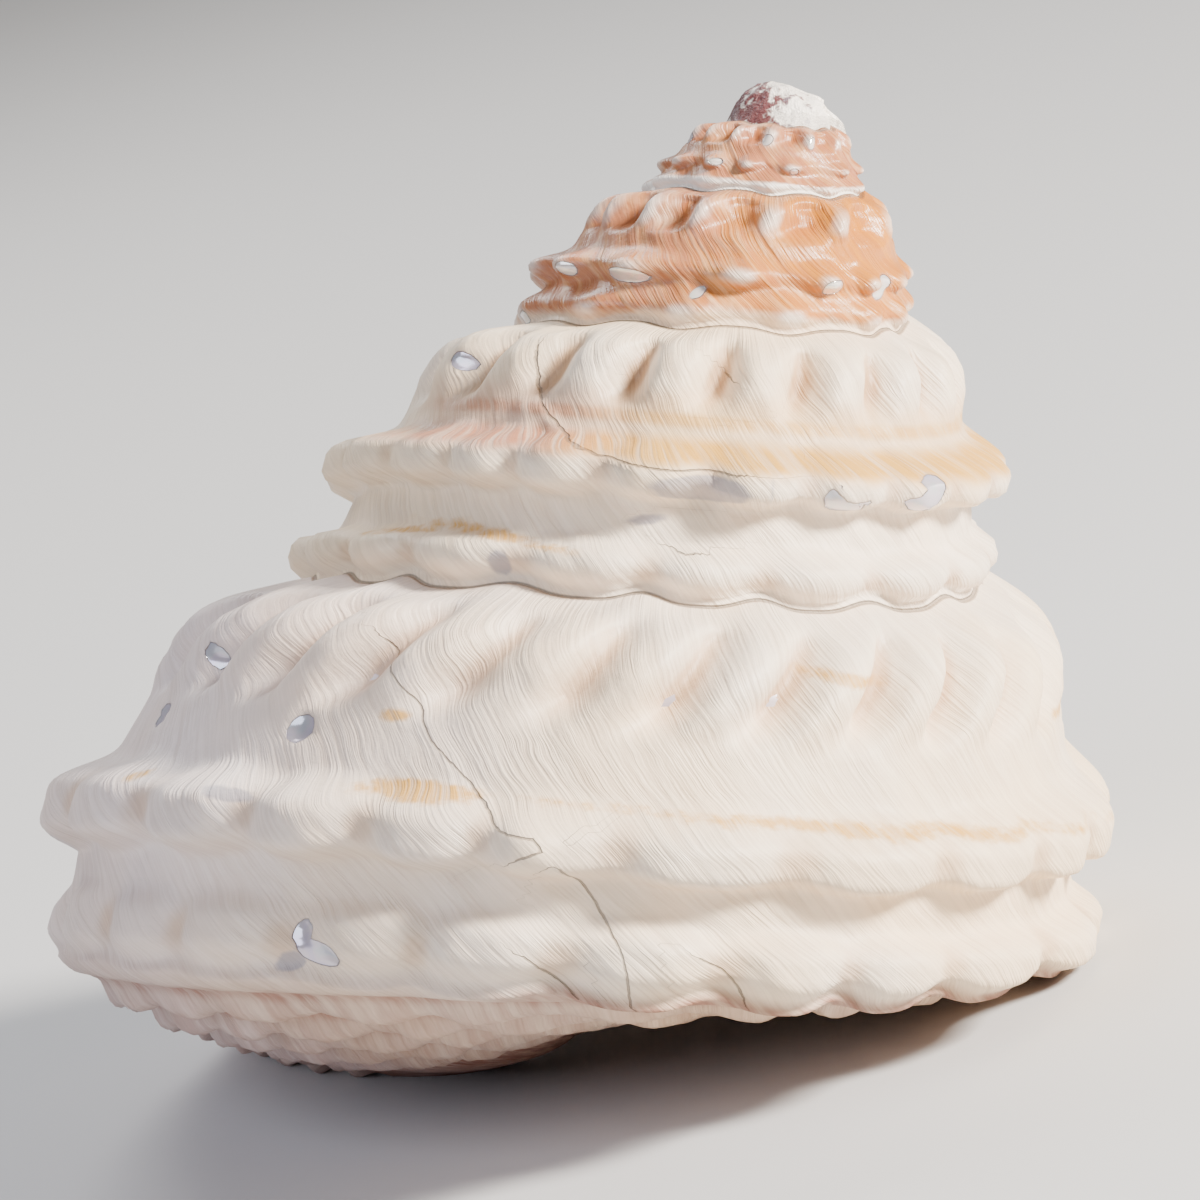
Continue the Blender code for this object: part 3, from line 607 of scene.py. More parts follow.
def add_hollow(patch, side_grid, base_grid):
    """Hollow: loops of the mouth carried back along the growth and drawn in by the wall."""
    lip_rows = np.concatenate([side_grid[2][-1], base_grid[2][-1][1:]])
    wall_rows = base_grid[2][0, -2:0:-1]
    first = np.concatenate([side_grid[0][-1], base_grid[0][-1, 1:], base_grid[0][0, -2:0:-1]])
    rows = np.concatenate([lip_rows, wall_rows])
    lip = LAST / HALF
    behind = TURN_BACK / HALF
    on_wall = np.arange(len(rows)) >= len(lip_rows)
    share = np.linspace(0, 1, HOLLOW_RINGS + 1)[1:]
    depths = HOLLOW_DEPTH * (0.12 * share + 0.88 * share ** 2.4)
    depths[:2] = LIP_DEPTHS
    to_pole = np.where(on_wall, 1 - ease(2 - rows, 0.0, 0.4), ease(rows, 1.5, 2.0))
    loops = []
    for depth in depths:
        outer = surface(lip - depth, lip_rows, HOLLOW_DETAIL, False)
        inner = surface(lip - behind - depth, wall_rows, HOLLOW_DETAIL, False)
        loop = np.concatenate([outer, inner])
        thick = LIP_EDGE * min(1.0, (depth / LIP_DEPTHS[1]) ** 0.5)
        thick = thick + (WALL - LIP_EDGE) * float(ease(depth, 0.0, 0.3))
        glaze = PARIETAL_GLAZE * float(ease(depth, 0.0, 0.3))
        post = COLUMELLA * float(ease(depth, 0.0, 0.5))
        plain = np.where(on_wall, glaze, thick)
        offset = plain + (np.maximum(post, plain) - plain) * to_pole
        away = loop.mean(axis=0) - loop
        length = np.linalg.norm(away, axis=1)
        loops.append(loop + away * np.minimum(offset / length, DEEPEST_DRAW)[:, None])
    loops = np.array(loops)
    new = patch.add_places(loops)
    numbers = np.concatenate([first[None, :], new])
    numbers = np.concatenate([numbers, numbers[:, :1]], axis=1)
    growth = lip - np.concatenate([[0], depths])[:, None] - np.where(on_wall, behind, 0)[None, :]
    growth = np.concatenate([growth, growth[:, :1]], axis=1)
    wide = np.broadcast_to(np.concatenate([rows, rows[:1]]), growth.shape)
    zone = np.zeros(growth.shape + (2,))
    zone[:, :, 0] = np.concatenate([[0.0, 0.6], np.ones(len(depths) - 1)])[:, None]
    corners = [grid_corners(v) for v in (numbers, growth, wide, zone[:, :, 0])]
    patch.add_faces(*corners[:3], np.stack([corners[3], 0 * corners[3]], axis=-1))
    middle = patch.add_places(loops[-1].mean(axis=0)[None, :])[0]
    patch.add_fan(numbers[-1], middle, lip - HOLLOW_DEPTH, 1.0, IN_HOLLOW)


def add_tip(patch, side_grid):
    """Worn apex: loops that draw in to a low dome, with an uneven chalky crust."""
    numbers, growth, wide = side_grid
    rim = np.concatenate([numbers[: TURN_BACK + 1, 0], numbers[0, 2:-1:2][::-1]])
    rim_growth = np.concatenate([growth[: TURN_BACK + 1, 0], growth[0, 2:-1:2][::-1]])
    every = np.concatenate(patch.places)
    edge = every[rim]
    middle = np.array([APEX_OFF, 0.0, APEX_HEIGHT])
    share = np.linspace(1, 0, TIP_RINGS + 1)[1:-1][:, None]
    fallen = np.clip(APEX_EDGE - edge[:, 2], 0, None)[None, :] / APEX_FALL
    loops = middle + (edge - middle) * (share ** (1 + fallen))[:, :, None]
    rise = (1 - share ** 2.6) ** 0.6
    loops[:, :, 2] = edge[:, 2] + (APEX_HEIGHT - edge[:, 2]) * rise
    angle = np.arctan2(edge[:, 1] - middle[1], edge[:, 0] - middle[0])[None, :]
    lumps = np.sin(5 * angle + 9 * share) * np.sin(14 * share + 2 * angle)
    lumps = lumps + 0.7 * np.sin(9 * angle - 11 * share) * np.sin(17 * share + 1.3)
    grow = 1 + TIP_LUMP * lumps * ease(1 - share, 0, 0.15)
    loops[:, :, :2] = middle[:2] + (loops[:, :, :2] - middle[:2]) * grow[:, :, None]
    loops[:, :, 2] += TIP_WAVE * np.sin(4 * angle + 12 * share) * share ** 2 * (1 - share) ** 0.7
    new = patch.add_places(loops)
    grid = np.concatenate([rim[None, :], new])
    grid = np.concatenate([grid, grid[:, :1]], axis=1)
    turned = np.broadcast_to(np.concatenate([rim_growth, rim_growth[:1]]), grid.shape)
    sunk = np.broadcast_to(-np.concatenate([[[0.0]], 1 - share]), grid.shape)
    patch.add_grid(grid, turned, sunk, ON_TIP)
    top = patch.add_places(middle[None, :])[0]
    patch.add_fan(grid[-1], top, 0.5, -1.0, ON_TIP)


def corner_marks(growth, rows, zone):
    """What the material reads at each corner: place, zone, marks and tints."""
    t = np.clip(rows, 0, 2)
    n = growth - lag(t)
    q = row_place(n, np.clip(t, 0, 1))
    height = suture(n - 2)[1] - suture(n)[1]
    down = np.where(t > 1, height * 1.1 + (t - 1) * keel(n)[0], q * height * 1.1)
    place = np.stack([growth_length(growth), down + TIP_DOWN * (rows < 0), n], axis=-1)
    outside = (t <= 1) & (zone[:, 0] == 0) & (zone[:, 1] == 0)
    pearl = np.where(outside, pearl_distance(n, q), FAR_OFF)
    scar = np.where(outside, spot_distance(n, q, GREY_SCARS), FAR_OFF)
    crack = np.where(outside, crack_distance(n, q), FAR_OFF)
    orange = np.where(outside, spot_distance(n, q, ORANGE_MARKS), FAR_OFF)
    crest = np.exp(-((q - 0.18) / 0.12) ** 2) * fold_wave(n, q)
    upper = knob_wave(n, UPPER_LINE)
    lower = knob_wave(n, LOWER_LINE)
    crest = crest + np.exp(-((q - upper_keel_place(n)) / 0.06) ** 2) * upper
    crest = crest + np.exp(-((q - 0.9) / 0.06) ** 2) * lower
    cords = sum(cord(n, 2 - t, order) for order in range(len(CORD_HEIGHT)))
    crest = np.where(outside, crest, np.where(t > 1, cords, 0.0))
    return {
        "place": place,
        "zone": np.stack([np.where(t > 1, t, q), zone[:, 0], zone[:, 1]], axis=-1),
        "marks": np.stack([pearl, crack, scar], axis=-1),
        "tints": np.stack([orange, crest, np.clip(t, 0, 2)], axis=-1),
    }


def finish_mesh(patch):
    """Put the arrays in a mesh, lay it down and give its corners what the material reads."""
    places = np.concatenate(patch.places)
    pose = np.array(rest_pose())
    places = places @ pose[:3, :3].T + pose[:3, 3]
    places[:, 2] = np.maximum(places[:, 2], 0.0)
    sizes = np.concatenate([np.full(len(f[0]), f[0].shape[1]) for f in patch.faces])
    corners = np.concatenate([f[0].reshape(-1) for f in patch.faces])
    growth = np.concatenate([f[1].reshape(-1) for f in patch.faces]).astype(float)
    rows = np.concatenate([f[2].reshape(-1) for f in patch.faces]).astype(float)
    zone = np.concatenate([f[3].reshape(-1, 2) for f in patch.faces])
    starts = np.concatenate([[0], np.cumsum(sizes)[:-1]])
    mesh = bpy.data.meshes.new("turban_shell")
    mesh.vertices.add(len(places))
    mesh.vertices.foreach_set("co", places.reshape(-1))
    mesh.loops.add(len(corners))
    mesh.loops.foreach_set("vertex_index", corners.astype(np.int32))
    mesh.polygons.add(len(sizes))
    mesh.polygons.foreach_set("loop_start", starts.astype(np.int32))
    mesh.update(calc_edges=True)
    inside = np.add.reduceat(zone[:, 0], starts) / sizes
    mesh.polygons.foreach_set("material_index", (inside > 0.5).astype(np.int32))
    for name, values in corner_marks(growth, rows, zone).items():
        attribute = mesh.attributes.new(name, "FLOAT_VECTOR", "CORNER")
        attribute.data.foreach_set("vector", values.reshape(-1))
    mesh.shade_smooth()
    return mesh


def sharpen(mesh, line):
    """Keep the crease along a line of vertices sharp."""
    marked = np.zeros(len(mesh.vertices), bool)
    marked[line] = True
    ends = np.empty(2 * len(mesh.edges), np.int32)
    mesh.edges.foreach_get("vertices", ends)
    sharp = marked[ends.reshape(-1, 2)].all(axis=1)
    found = mesh.attributes.get("sharp_edge")
    attribute = found or mesh.attributes.new("sharp_edge", "BOOLEAN", "EDGE")
    attribute.data.foreach_set("value", sharp)


class Painter:
    """Adds nodes to a tree and joins them, one short call for each."""

    def __init__(self, tree):
        self.tree = tree

    def put(self, kind, inputs=None, **settings):
        """Add a node, set what it is told and feed its inputs."""
        node = self.tree.nodes.new(kind)
        for key, value in settings.items():
            setattr(node, key, value)
        self.feed_all(node, inputs or {})
        return node

    def feed(self, socket, value):
        """Join a socket to another node's output, or set its value."""
        if isinstance(value, bpy.types.NodeSocket):
            self.tree.links.new(value, socket)
        else:
            socket.default_value = value

    def feed_all(self, node, inputs):
        """Feed several inputs of a node, by name or by number."""
        for key, value in inputs.items():
            self.feed(node.inputs[key], value)

    def math(self, operation, first, second=0.0, third=0.0):
        """One number worked out of up to three."""
        node = self.put("ShaderNodeMath", {0: first, 1: second, 2: third}, operation=operation)
        return node.outputs[0]

    def times(self, *values):
        """Product of two or more numbers."""
        product = values[0]
        for value in values[1:]:
            product = self.math("MULTIPLY", product, value)
        return product

    def scaled(self, value, factor, more):
        """A number times a factor, and another number added."""
        return self.math("MULTIPLY_ADD", value, factor, more)

    def step(self, value, low, high, start=0.0, end=1.0):
        """Smooth change from start to end as the value goes from low to high."""
        inputs = {"Value": value, "From Min": low, "From Max": high, "To Min": start, "To Max": end}
        node = self.put("ShaderNodeMapRange", inputs, interpolation_type="SMOOTHSTEP")
        return node.outputs["Result"]

    def window(self, value, start, full, fading, end):
        """1 between full and fading, with a smooth fall to 0 at start and at end."""
        return self.times(self.step(value, start, full), self.step(value, end, fading))

    def blend(self, share, first, second, kind="MIX"):
        """Mix two colours by a share."""
        inputs = dict(zip(MIX_COLOURS, (share, first, second)))
        node = self.put("ShaderNodeMix", data_type="RGBA", blend_type=kind)
        self.feed_all(node, inputs)
        return node.outputs[MIX_COLOUR_OUT]

    def noise(self, vector, scale, detail=3.0, rough=0.5, twist=0.0):
        """Cloudy value between 0 and 1."""
        inputs = {"Vector": vector, "Scale": scale, "Detail": detail, "Roughness": rough}
        node = self.put("ShaderNodeTexNoise", inputs | {"Distortion": twist})
        return node.outputs["Fac"]

    def parts(self, name):
        """The three numbers that a corner attribute holds."""
        read = self.put("ShaderNodeAttribute", attribute_name=name)
        return self.put("ShaderNodeSeparateXYZ", {0: read.outputs["Vector"]}).outputs

    def joined(self, x, y, z=0.0):
        """A vector from three numbers."""
        return self.put("ShaderNodeCombineXYZ", {"X": x, "Y": y, "Z": z}).outputs[0]

    def own_place(self):
        """Place on the piece itself, in metres."""
        return self.put("ShaderNodeTexCoord").outputs["Object"]

    def bump(self, height, distance, strength=1.0):
        """Normal of a relief that is given as heights."""
        inputs = {"Height": height, "Distance": distance, "Strength": strength}
        return self.put("ShaderNodeBump", inputs).outputs["Normal"]


def new_group(name, inputs, outputs):
    """A shader node group with named number or colour sockets."""
    group = bpy.data.node_groups.new(name, "ShaderNodeTree")
    for label, kind, value in inputs:
        socket = group.interface.new_socket(label, in_out="INPUT", socket_type=kind)
        socket.default_value = value
    for label, kind in outputs:
        group.interface.new_socket(label, in_out="OUTPUT", socket_type=kind)
    entry = group.nodes.new("NodeGroupInput")
    leave = group.nodes.new("NodeGroupOutput")
    return group, Painter(group), entry, leave


def growth_group():
    """Growth lines: fine threads and coarser steps, both long down the whorl, and pits."""
    inputs = [("Spacing", "NodeSocketFloat", 0.65)]
    outputs = [(label, "NodeSocketFloat") for label in ("Fine", "Coarse", "Pits")]
    group, paint, entry, leave = new_group("growth lines", inputs, outputs)
    grown, down, _ = paint.parts("place")
    wide = paint.joined(paint.times(grown, 0.06), paint.times(down, 0.12))
    swayed = paint.scaled(paint.noise(wide, 1.0, 2.0), 3.0, grown)
    across = paint.math("DIVIDE", swayed, entry.outputs["Spacing"])
    fine = paint.noise(paint.joined(across, paint.times(down, 0.10)), 1.0, 2.0, 0.6)
    slow = paint.joined(paint.times(across, 0.28), paint.times(down, 0.07), 5.0)
    place = paint.own_place()
    there = paint.noise(place, 75.0, 3.0, 0.6)
    cut = paint.step(fine, 0.28, 0.72, -0.5, 0.5)
    broken = paint.scaled(cut, paint.step(there, 0.35, 0.62, 0.35, 1.0), 0.5)
    coarse = paint.noise(slow, 1.0, 3.0, 0.55)
    pits = paint.noise(place, 900.0, 3.0, 0.6)
    paint.feed_all(leave, {"Fine": broken, "Coarse": coarse, "Pits": pits})
    return group


def pearl_group():
    """Mother of pearl: silver that turns pink, green and blue in soft bands."""
    inputs = [("Silver", "NodeSocketColor", (0.7, 0.68, 0.7, 1)), ("Strength", "NodeSocketFloat", 0.6)]
    group, paint, entry, leave = new_group("mother of pearl", inputs, [("Color", "NodeSocketColor")])
    bands = paint.noise(paint.own_place(), 260.0, 3.0, 0.5, 1.2)
    ramp = paint.put("ShaderNodeValToRGB", {"Fac": bands})
    stops = ramp.color_ramp.elements
    for count, (position, colour) in enumerate(PEARL_STOPS):
        stop = stops[count] if count < len(stops) else stops.new(position)
        stop.position = position
        stop.color = colour
    shine = paint.blend(entry.outputs["Strength"], entry.outputs["Silver"], ramp.outputs["Color"])
    paint.feed(leave.inputs["Color"], shine)
    return group


class ShellPainter(Painter):
    """Paints the outside of the shell, one layer of colour over another."""

    def __init__(self, tree, colours, groups):
        super().__init__(tree)
        self.colours = colours
        growth = self.put("ShaderNodeGroup", {"Spacing": 0.45}, node_tree=groups["growth"])
        self.fine, self.coarse, self.pits = growth.outputs
        self.grown, self.down, self.station = self.parts("place")
        self.row, _, self.tip = self.parts("zone")
        self.pearl_gap, self.crack_gap, self.scar_gap = self.parts("marks")
        self.orange_gap, self.crest, self.run = self.parts("tints")
        place = self.own_place()
        self.broad = self.noise(place, 28.0, 3.0, 0.55)
        self.cloud = self.noise(place, 90.0, 4.0, 0.6)
        self.speck = self.noise(place, 420.0, 3.0, 0.65)
        lengthwise = self.joined(self.times(self.grown, 0.5), self.times(self.down, 0.12), 3.0)
        self.streak = self.noise(lengthwise, 1.0, 4.0, 0.6)
        self.young = self.step(self.station, 3.42, 3.05)
        self.colour = self.blend(self.step(self.broad, 0.35, 0.65), colours["cream"], colours["warm"])

    def tint(self, share, name, kind="MIX"):
        """Lay a named colour over what is there."""
        self.colour = self.blend(share, self.colour, self.colours[name], kind)

    def ragged(self, gap, cloud, amount):
        """A signed distance whose zero line a cloud makes uneven."""
        return self.scaled(cloud, amount, self.math("ADD", gap, -amount / 2))

    def paint_body(self):
        """Painted shade: tan in the troughs between the folds, and lavender towards the left."""
        # Painted shade: tan in the troughs between the folds, stronger on the right.
        fold_trough_shade = self.times(self.step(self.crest, -0.15, -0.9), self.step(self.row, 0.42, 0.34))
        self.tint(self.times(fold_trough_shade, self.step(self.station, 6.60, 6.15, 0.30, 0.85)), "tan")
        # Painted shade: a lavender tint that grows towards the left of the last whorl.
        self.tint(self.times(self.step(self.station, 6.40, 6.95), 0.42), "left_shade_lavender")

    def paint_spire(self):
        """Salmon and amber with painted shade of rust in the hollows, pale crests, a hatch of white, a
        chalky foot.
        """
        hot = self.window(self.station, 1.7, 2.0, 2.42, 2.72)
        share = self.scaled(hot, 0.7, self.step(self.streak, 0.40, 0.66, -0.1, 0.5))
        amber = self.blend(share, self.colours["salmon"], self.colours["amber"])
        # Painted shade: darker rust in the hollows between the knobs, made patchy by a cloud.
        knob_hollow_shade = self.times(self.step(self.crest, 0.0, -0.8), self.step(self.cloud, 0.40, 0.60), 0.5)
        amber = self.blend(knob_hollow_shade, amber, self.colours["rust"])
        hatched = self.step(self.scaled(self.fine, 0.25, self.streak), 0.80, 0.56, 0.80, 1.0)
        skin = self.step(self.scaled(hot, -0.12, self.cloud), 0.70, 0.56, 0.62, 1.0)
        chalked = self.step(self.scaled(self.cloud, 0.25, self.row), 0.99, 1.08, 1.0, 0.15)
        bright = self.times(hot, self.step(self.row, 0.80, 0.60, 0.0, 0.97))
        amount = self.math("MAXIMUM", self.times(hatched, skin, chalked), bright)
        self.peeled = self.times(amount, self.young)
        self.colour = self.blend(self.times(self.peeled, 0.98), self.colour, amber)
        tips = self.step(self.scaled(self.cloud, 1.6, self.crest), 0.95, 1.9)
        self.tint(self.times(self.young, tips, 0.65), "chalk")

    def paint_bands(self):
        """Ochre bands round the last but one whorl, hatched by growth lines, and small marks."""
        middle = self.window(self.station, 3.3, 3.6, 4.80, 4.98)
        near = self.math("ABSOLUTE", self.math("SUBTRACT", self.row, 0.345))
        low = self.math("ABSOLUTE", self.math("SUBTRACT", self.row, 0.450))
        upper_band = self.step(near, 0.040, 0.008, 0.0, 0.7)
        band = self.math("MAXIMUM", upper_band, self.step(low, 0.065, 0.015))
        hatch = self.step(self.scaled(self.fine, 0.5, self.streak), 0.50, 0.85, 0.2, 1.0)
        later = self.step(self.station, 4.55, 4.70)
        gold = self.blend(later, self.colours["ochre"], self.colours["salmon"])
        self.colour = self.blend(self.times(band, hatch, middle, 0.95), self.colour, gold)
        wash = self.times(self.window(self.row, 0.20, 0.32, 0.48, 0.54), middle, 0.42)
        self.colour = self.blend(wash, self.colour, gold)
        mark = self.step(self.ragged(self.orange_gap, self.speck, 1.6), 0.5, -0.3)
        self.tint(self.times(mark, self.step(self.fine, 0.0, 0.8, 0.4, 1.0), 0.95), "ochre")

    def paint_base(self):
        """Rose and brown under the lower keel and on the base, stronger in its grooves: pink and
        painted shade.
        """
        # Partly the shell's own pink, partly painted shade: rose under the lower keel and over the
        # base, darker in the grooves.
        edge = self.window(self.run, 0.95, 1.0, 1.02, 1.10)
        edge = self.times(edge, self.window(self.station, 5.3, 5.7, 6.5, 6.62))
        grooves = self.scaled(self.step(self.crest, 0.55, 0.05, 0.25, 1.0), 0.6, 0.5)
        inner = self.times(self.step(self.run, 1.02, 1.12, 0.3, 1.0), grooves)
        under = self.times(self.step(self.run, 0.95, 1.0), self.step(self.station, 5.3, 5.7), inner)
        under = self.math("MAXIMUM", edge, under)
        self.tint(self.times(under, self.step(self.streak, 0.25, 0.65, 0.45, 0.90)), "rose_and_shade")

    def paint_shade_and_growth_lines(self):
        """Painted shade in tan between the knobs and under the keels, and growth lines that darken the
        colour.
        """
        # Painted shade: tan wherever the folds and knobs dip, on the grown whorls.
        gap_shade = self.times(self.step(self.crest, -0.1, -1.0), self.step(self.run, 1.0, 0.98))
        self.tint(self.times(gap_shade, self.step(self.station, 3.0, 3.6), 0.5), "tan")
        self.tint(self.step(self.fine, 0.1, 0.75, 0.24, 0.0), "line", "MULTIPLY")
        self.tint(self.step(self.coarse, 0.35, 0.6, 0.12, 0.0), "line", "MULTIPLY")

    def paint_apex(self):
        """Worn apex: a crust of chalk with maroon patches and grey pores."""
        leftward = self.math("ADD", self.cloud, self.step(self.station, 0.35, 0.90, 0.0, 0.20))
        patchy = self.step(self.scaled(self.speck, 0.8, leftward), 1.07, 1.17)
        crust = self.blend(patchy, self.colours["chalk"], self.colours["maroon"])
        crust = self.blend(self.step(self.speck, 0.62, 0.70, 0.0, 0.5), crust, self.colours["scar"])
        foot = self.step(self.scaled(self.cloud, 0.3, self.row), 0.95, 1.02)
        self.tint(self.times(foot, self.step(self.station, 1.5, 1.2, 0.0, 0.9)), "chalk")
        old = self.step(self.scaled(self.broad, 0.6, self.station), 0.35, 0.10)
        self.crusted = self.math("MAXIMUM", self.tip, self.times(old, 0.7))
        self.colour = self.blend(self.crusted, self.colour, crust)

    def paint_flaws(self):
        """Grey scars, dirt in the sutures, and cracks."""
        scar = self.step(self.ragged(self.scar_gap, self.cloud, 1.6), 0.25, -0.25)
        self.tint(self.times(scar, 0.7), "scar")
        foot = self.window(self.run, 0.992, 0.999, 1.001, 1.01)
        foot = self.times(foot, self.step(self.station, 5.6, 5.5))
        self.seam = self.math("MAXIMUM", self.step(self.down, 0.24, 0.06), foot)
        self.tint(self.times(self.seam, 0.65), "dirt")
        wander = self.math("ABSOLUTE", self.ragged(self.crack_gap, self.speck, 0.5))
        self.crack = self.step(wander, 0.17, 0.05)
        self.tint(self.times(self.crack, 0.6), "dirt")

    def paint_chips(self, pearl):
        """Chips that show the pearl, with a darker rim."""
        chipped = self.ragged(self.pearl_gap, self.cloud, 1.4)
        self.pearly = self.step(chipped, 0.06, -0.06)
        silver = self.blend(self.young, self.colours["pearl"], self.colours["chalk"])
        nacre = self.put("ShaderNodeGroup", {"Silver": silver, "Strength": 0.35}, node_tree=pearl)
        self.colour = self.blend(self.pearly, self.colour, nacre.outputs["Color"])
        self.tint(self.times(self.window(chipped, -0.25, 0.0, 0.05, 0.30), 0.22), "scar")

    def roughness(self):
        """Dull chalk, a little smoother where the spire is peeled and glossy in the chips."""
        dull = self.step(self.cloud, 0.3, 0.7, 0.42, 0.62)
        dull = self.math("SUBTRACT", dull, self.times(self.peeled, 0.18))
        inputs = dict(zip(MIX_NUMBERS, (self.pearly, dull, 0.16)))
        return self.put("ShaderNodeMix", inputs, data_type="FLOAT").outputs[0]

    def relief(self):
        """Heights of the growth threads, coarser steps, grain, cracks, chips and crust."""
        height = self.scaled(self.coarse, 0.6, self.times(self.fine, 0.26))
        height = self.scaled(self.pits, 0.22, height)
        height = self.times(height, self.math("SUBTRACT", 1.0, self.pearly))
        for sunk, depth in ((self.crack, -0.9), (self.pearly, -0.8), (self.seam, -0.8)):
            height = self.scaled(sunk, depth, height)
        rough = self.scaled(self.cloud, 2.0, self.times(self.speck, 2.5))
        return self.scaled(self.crusted, rough, height)


def new_material(name):
    """A material with its tree and its shader."""
    material = bpy.data.materials.new(name)
    material.use_nodes = True
    return material, material.node_tree, material.node_tree.nodes["Principled BSDF"]


def weathered_material(colours, groups):
    """Outside of the shell: cream chalk over orange and pearl, with growth lines and marks."""
    material, tree, shader = new_material("weathered_shell")
    paint = ShellPainter(tree, colours, groups)
    paint.paint_body()
    paint.paint_spire()
    paint.paint_bands()
    paint.paint_base()
    paint.paint_shade_and_growth_lines()
    paint.paint_apex()
    paint.paint_flaws()
    paint.paint_chips(groups["pearl"])
    paint.feed(shader.inputs["Base Color"], paint.colour)
    paint.feed(shader.inputs["Roughness"], paint.roughness())
    paint.feed(shader.inputs["Metallic"], paint.times(paint.pearly, 0.45))
    paint.feed(shader.inputs["Normal"], paint.bump(paint.relief(), 0.00038))
    shader.inputs["Specular IOR Level"].default_value = 0.45
    return material


def hollow_material(colours, groups):
    """Inside of the mouth: smooth pearl with faint growth lines."""
    material, tree, shader = new_material("pearl_hollow")
    paint = Painter(tree)
    growth = paint.put("ShaderNodeGroup", {"Spacing": 2.4}, node_tree=groups["growth"])
    coarse = growth.outputs["Coarse"]
    silver = {"Silver": colours["pearl"], "Strength": 0.45}
    nacre = paint.put("ShaderNodeGroup", silver, node_tree=groups["pearl"]).outputs["Color"]
    broad = paint.noise(paint.own_place(), 40.0, 3.0)
    colour = paint.blend(paint.step(broad, 0.4, 0.65, 0.0, 0.45), nacre, colours["cream"])
    shade = paint.step(coarse, 0.4, 0.6, 0.12, 0.0)
    paint.feed(shader.inputs["Base Color"], paint.blend(shade, colour, colours["line"], "MULTIPLY"))
    paint.feed(shader.inputs["Roughness"], paint.step(broad, 0.3, 0.7, 0.18, 0.34))
    paint.feed(shader.inputs["Metallic"], paint.step(broad, 0.3, 0.7, 0.25, 0.10))
    paint.feed(shader.inputs["Normal"], paint.bump(paint.times(coarse, 0.6), 0.0003, 0.7))
    return material


def stage_material(name, colour):
    """Plain matt paper with the faintest unevenness."""
    material, tree, shader = new_material(name)
    paint = Painter(tree)
    cloud = paint.noise(paint.own_place(), 3.0, 2.0)
    darker = tuple(value * 0.985 for value in colour[:3]) + (1.0,)
    paint.feed(shader.inputs["Base Color"], paint.blend(cloud, colour, darker))
    shader.inputs["Roughness"].default_value = 0.85
    return material


def colour_property(name, description, value):
    """A colour that the user can change, given without its alpha."""
    return bpy.props.FloatVectorProperty(
        name=name, description=description, default=(*value, 1.0), subtype="COLOR", size=4,
        min=0.0, max=1.0,
    )


class ShellColours(bpy.types.PropertyGroup):
    """Colours of the shell's layers and marks."""

    cream: colour_property("Cream", "Chalky outer layer", (0.90, 0.76, 0.61))
    warm: colour_property("Warm cream", "Yellower patches of the outer layer", (0.92, 0.72, 0.49))
    # Tan is painted shade, laid in the troughs between the folds and between the knobs.
    tan: colour_property("Tan", "Troughs between the folds, and dust", (0.56, 0.33, 0.17))
    # Lavender grey is painted shade on the left of the last whorl.
    left_shade_lavender: colour_property("Lavender grey", "Cool left of the last whorl", (0.63, 0.56, 0.70))
    salmon: colour_property("Salmon", "Layer under the chalk on the spire", (0.44, 0.16, 0.07))
    amber: colour_property("Amber", "Brightest orange on the spire", (0.58, 0.19, 0.0))
    # Rust is painted shade in the hollows between the spire's knobs.
    rust: colour_property("Rust", "Hollows between the spire's knobs", (0.40, 0.10, 0.01))
    ochre: colour_property("Ochre", "Bands and small marks", (0.66, 0.34, 0.05))
    # Rose is partly the shell's own pink and partly painted shade under the keel and on the base.
    rose_and_shade: colour_property("Rose", "Tint under the lower keel and on the base", (0.28, 0.10, 0.06))
    chalk: colour_property("Chalk", "Worn crests and crust", (0.92, 0.84, 0.74))
    maroon: colour_property("Maroon", "Patches on the apex", (0.14, 0.04, 0.04))
    scar: colour_property("Scar grey", "Scars, pores and rims of chips", (0.28, 0.26, 0.30))
    dirt: colour_property("Dirt", "Sutures and cracks", (0.12, 0.08, 0.05))
    line: colour_property("Growth line", "Shade of the growth lines", (0.52, 0.42, 0.34))
    pearl: colour_property("Pearl", "Silver of the pearl layer", (0.56, 0.52, 0.60))

    def table(self):
        """All the colours by name, as plain tuples."""
        return {name: tuple(getattr(self, name)) for name in ShellColours.__annotations__}


class StageSettings(bpy.types.PropertyGroup):
    """Floor, lights and camera."""

    floor_size: bpy.props.FloatProperty(
        name="Floor size", description="Side of the square floor", default=8.0, unit="LENGTH"
    )
    floor_colour: colour_property("Floor", "Pale paper", (0.62, 0.61, 0.60))
    key_power: bpy.props.FloatProperty(
        name="Key light", description="Power of the warm light", default=52.0, unit="POWER"
    )
    fill_power: bpy.props.FloatProperty(
        name="Fill light", description="Power of each weaker light", default=6.4, unit="POWER"
    )
    sky: bpy.props.FloatProperty(name="Sky", description="Strength of the even light", default=0.15)


class SHELL_OT_build_shell(bpy.types.Operator):
    """Build the shell's fine surface with its materials"""

    bl_idname = "turban.build_shell"
    bl_label = "Build Shell"

    def execute(self, context):
        """Gather the surface, lay it down and dress it."""
        patch = Patchwork()
        side_grid = add_sides(patch)
        base_grid = add_base(patch, side_grid[0])
        add_hollow(patch, side_grid, base_grid)
        add_tip(patch, side_grid)
        mesh = finish_mesh(patch)
        sharpen(mesh, side_grid[0][: BARE_FIRST + 1, SIDE_ROWS])
        colours = context.scene.shell_colours.table()
        groups = {"growth": growth_group(), "pearl": pearl_group()}
        mesh.materials.append(weathered_material(colours, groups))
        mesh.materials.append(hollow_material(colours, groups))
        shell = bpy.data.objects.new("shell_surface", mesh)
        context.collection.objects.link(shell)
        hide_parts("shell")
        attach(shell, "root")
        return {"FINISHED"}


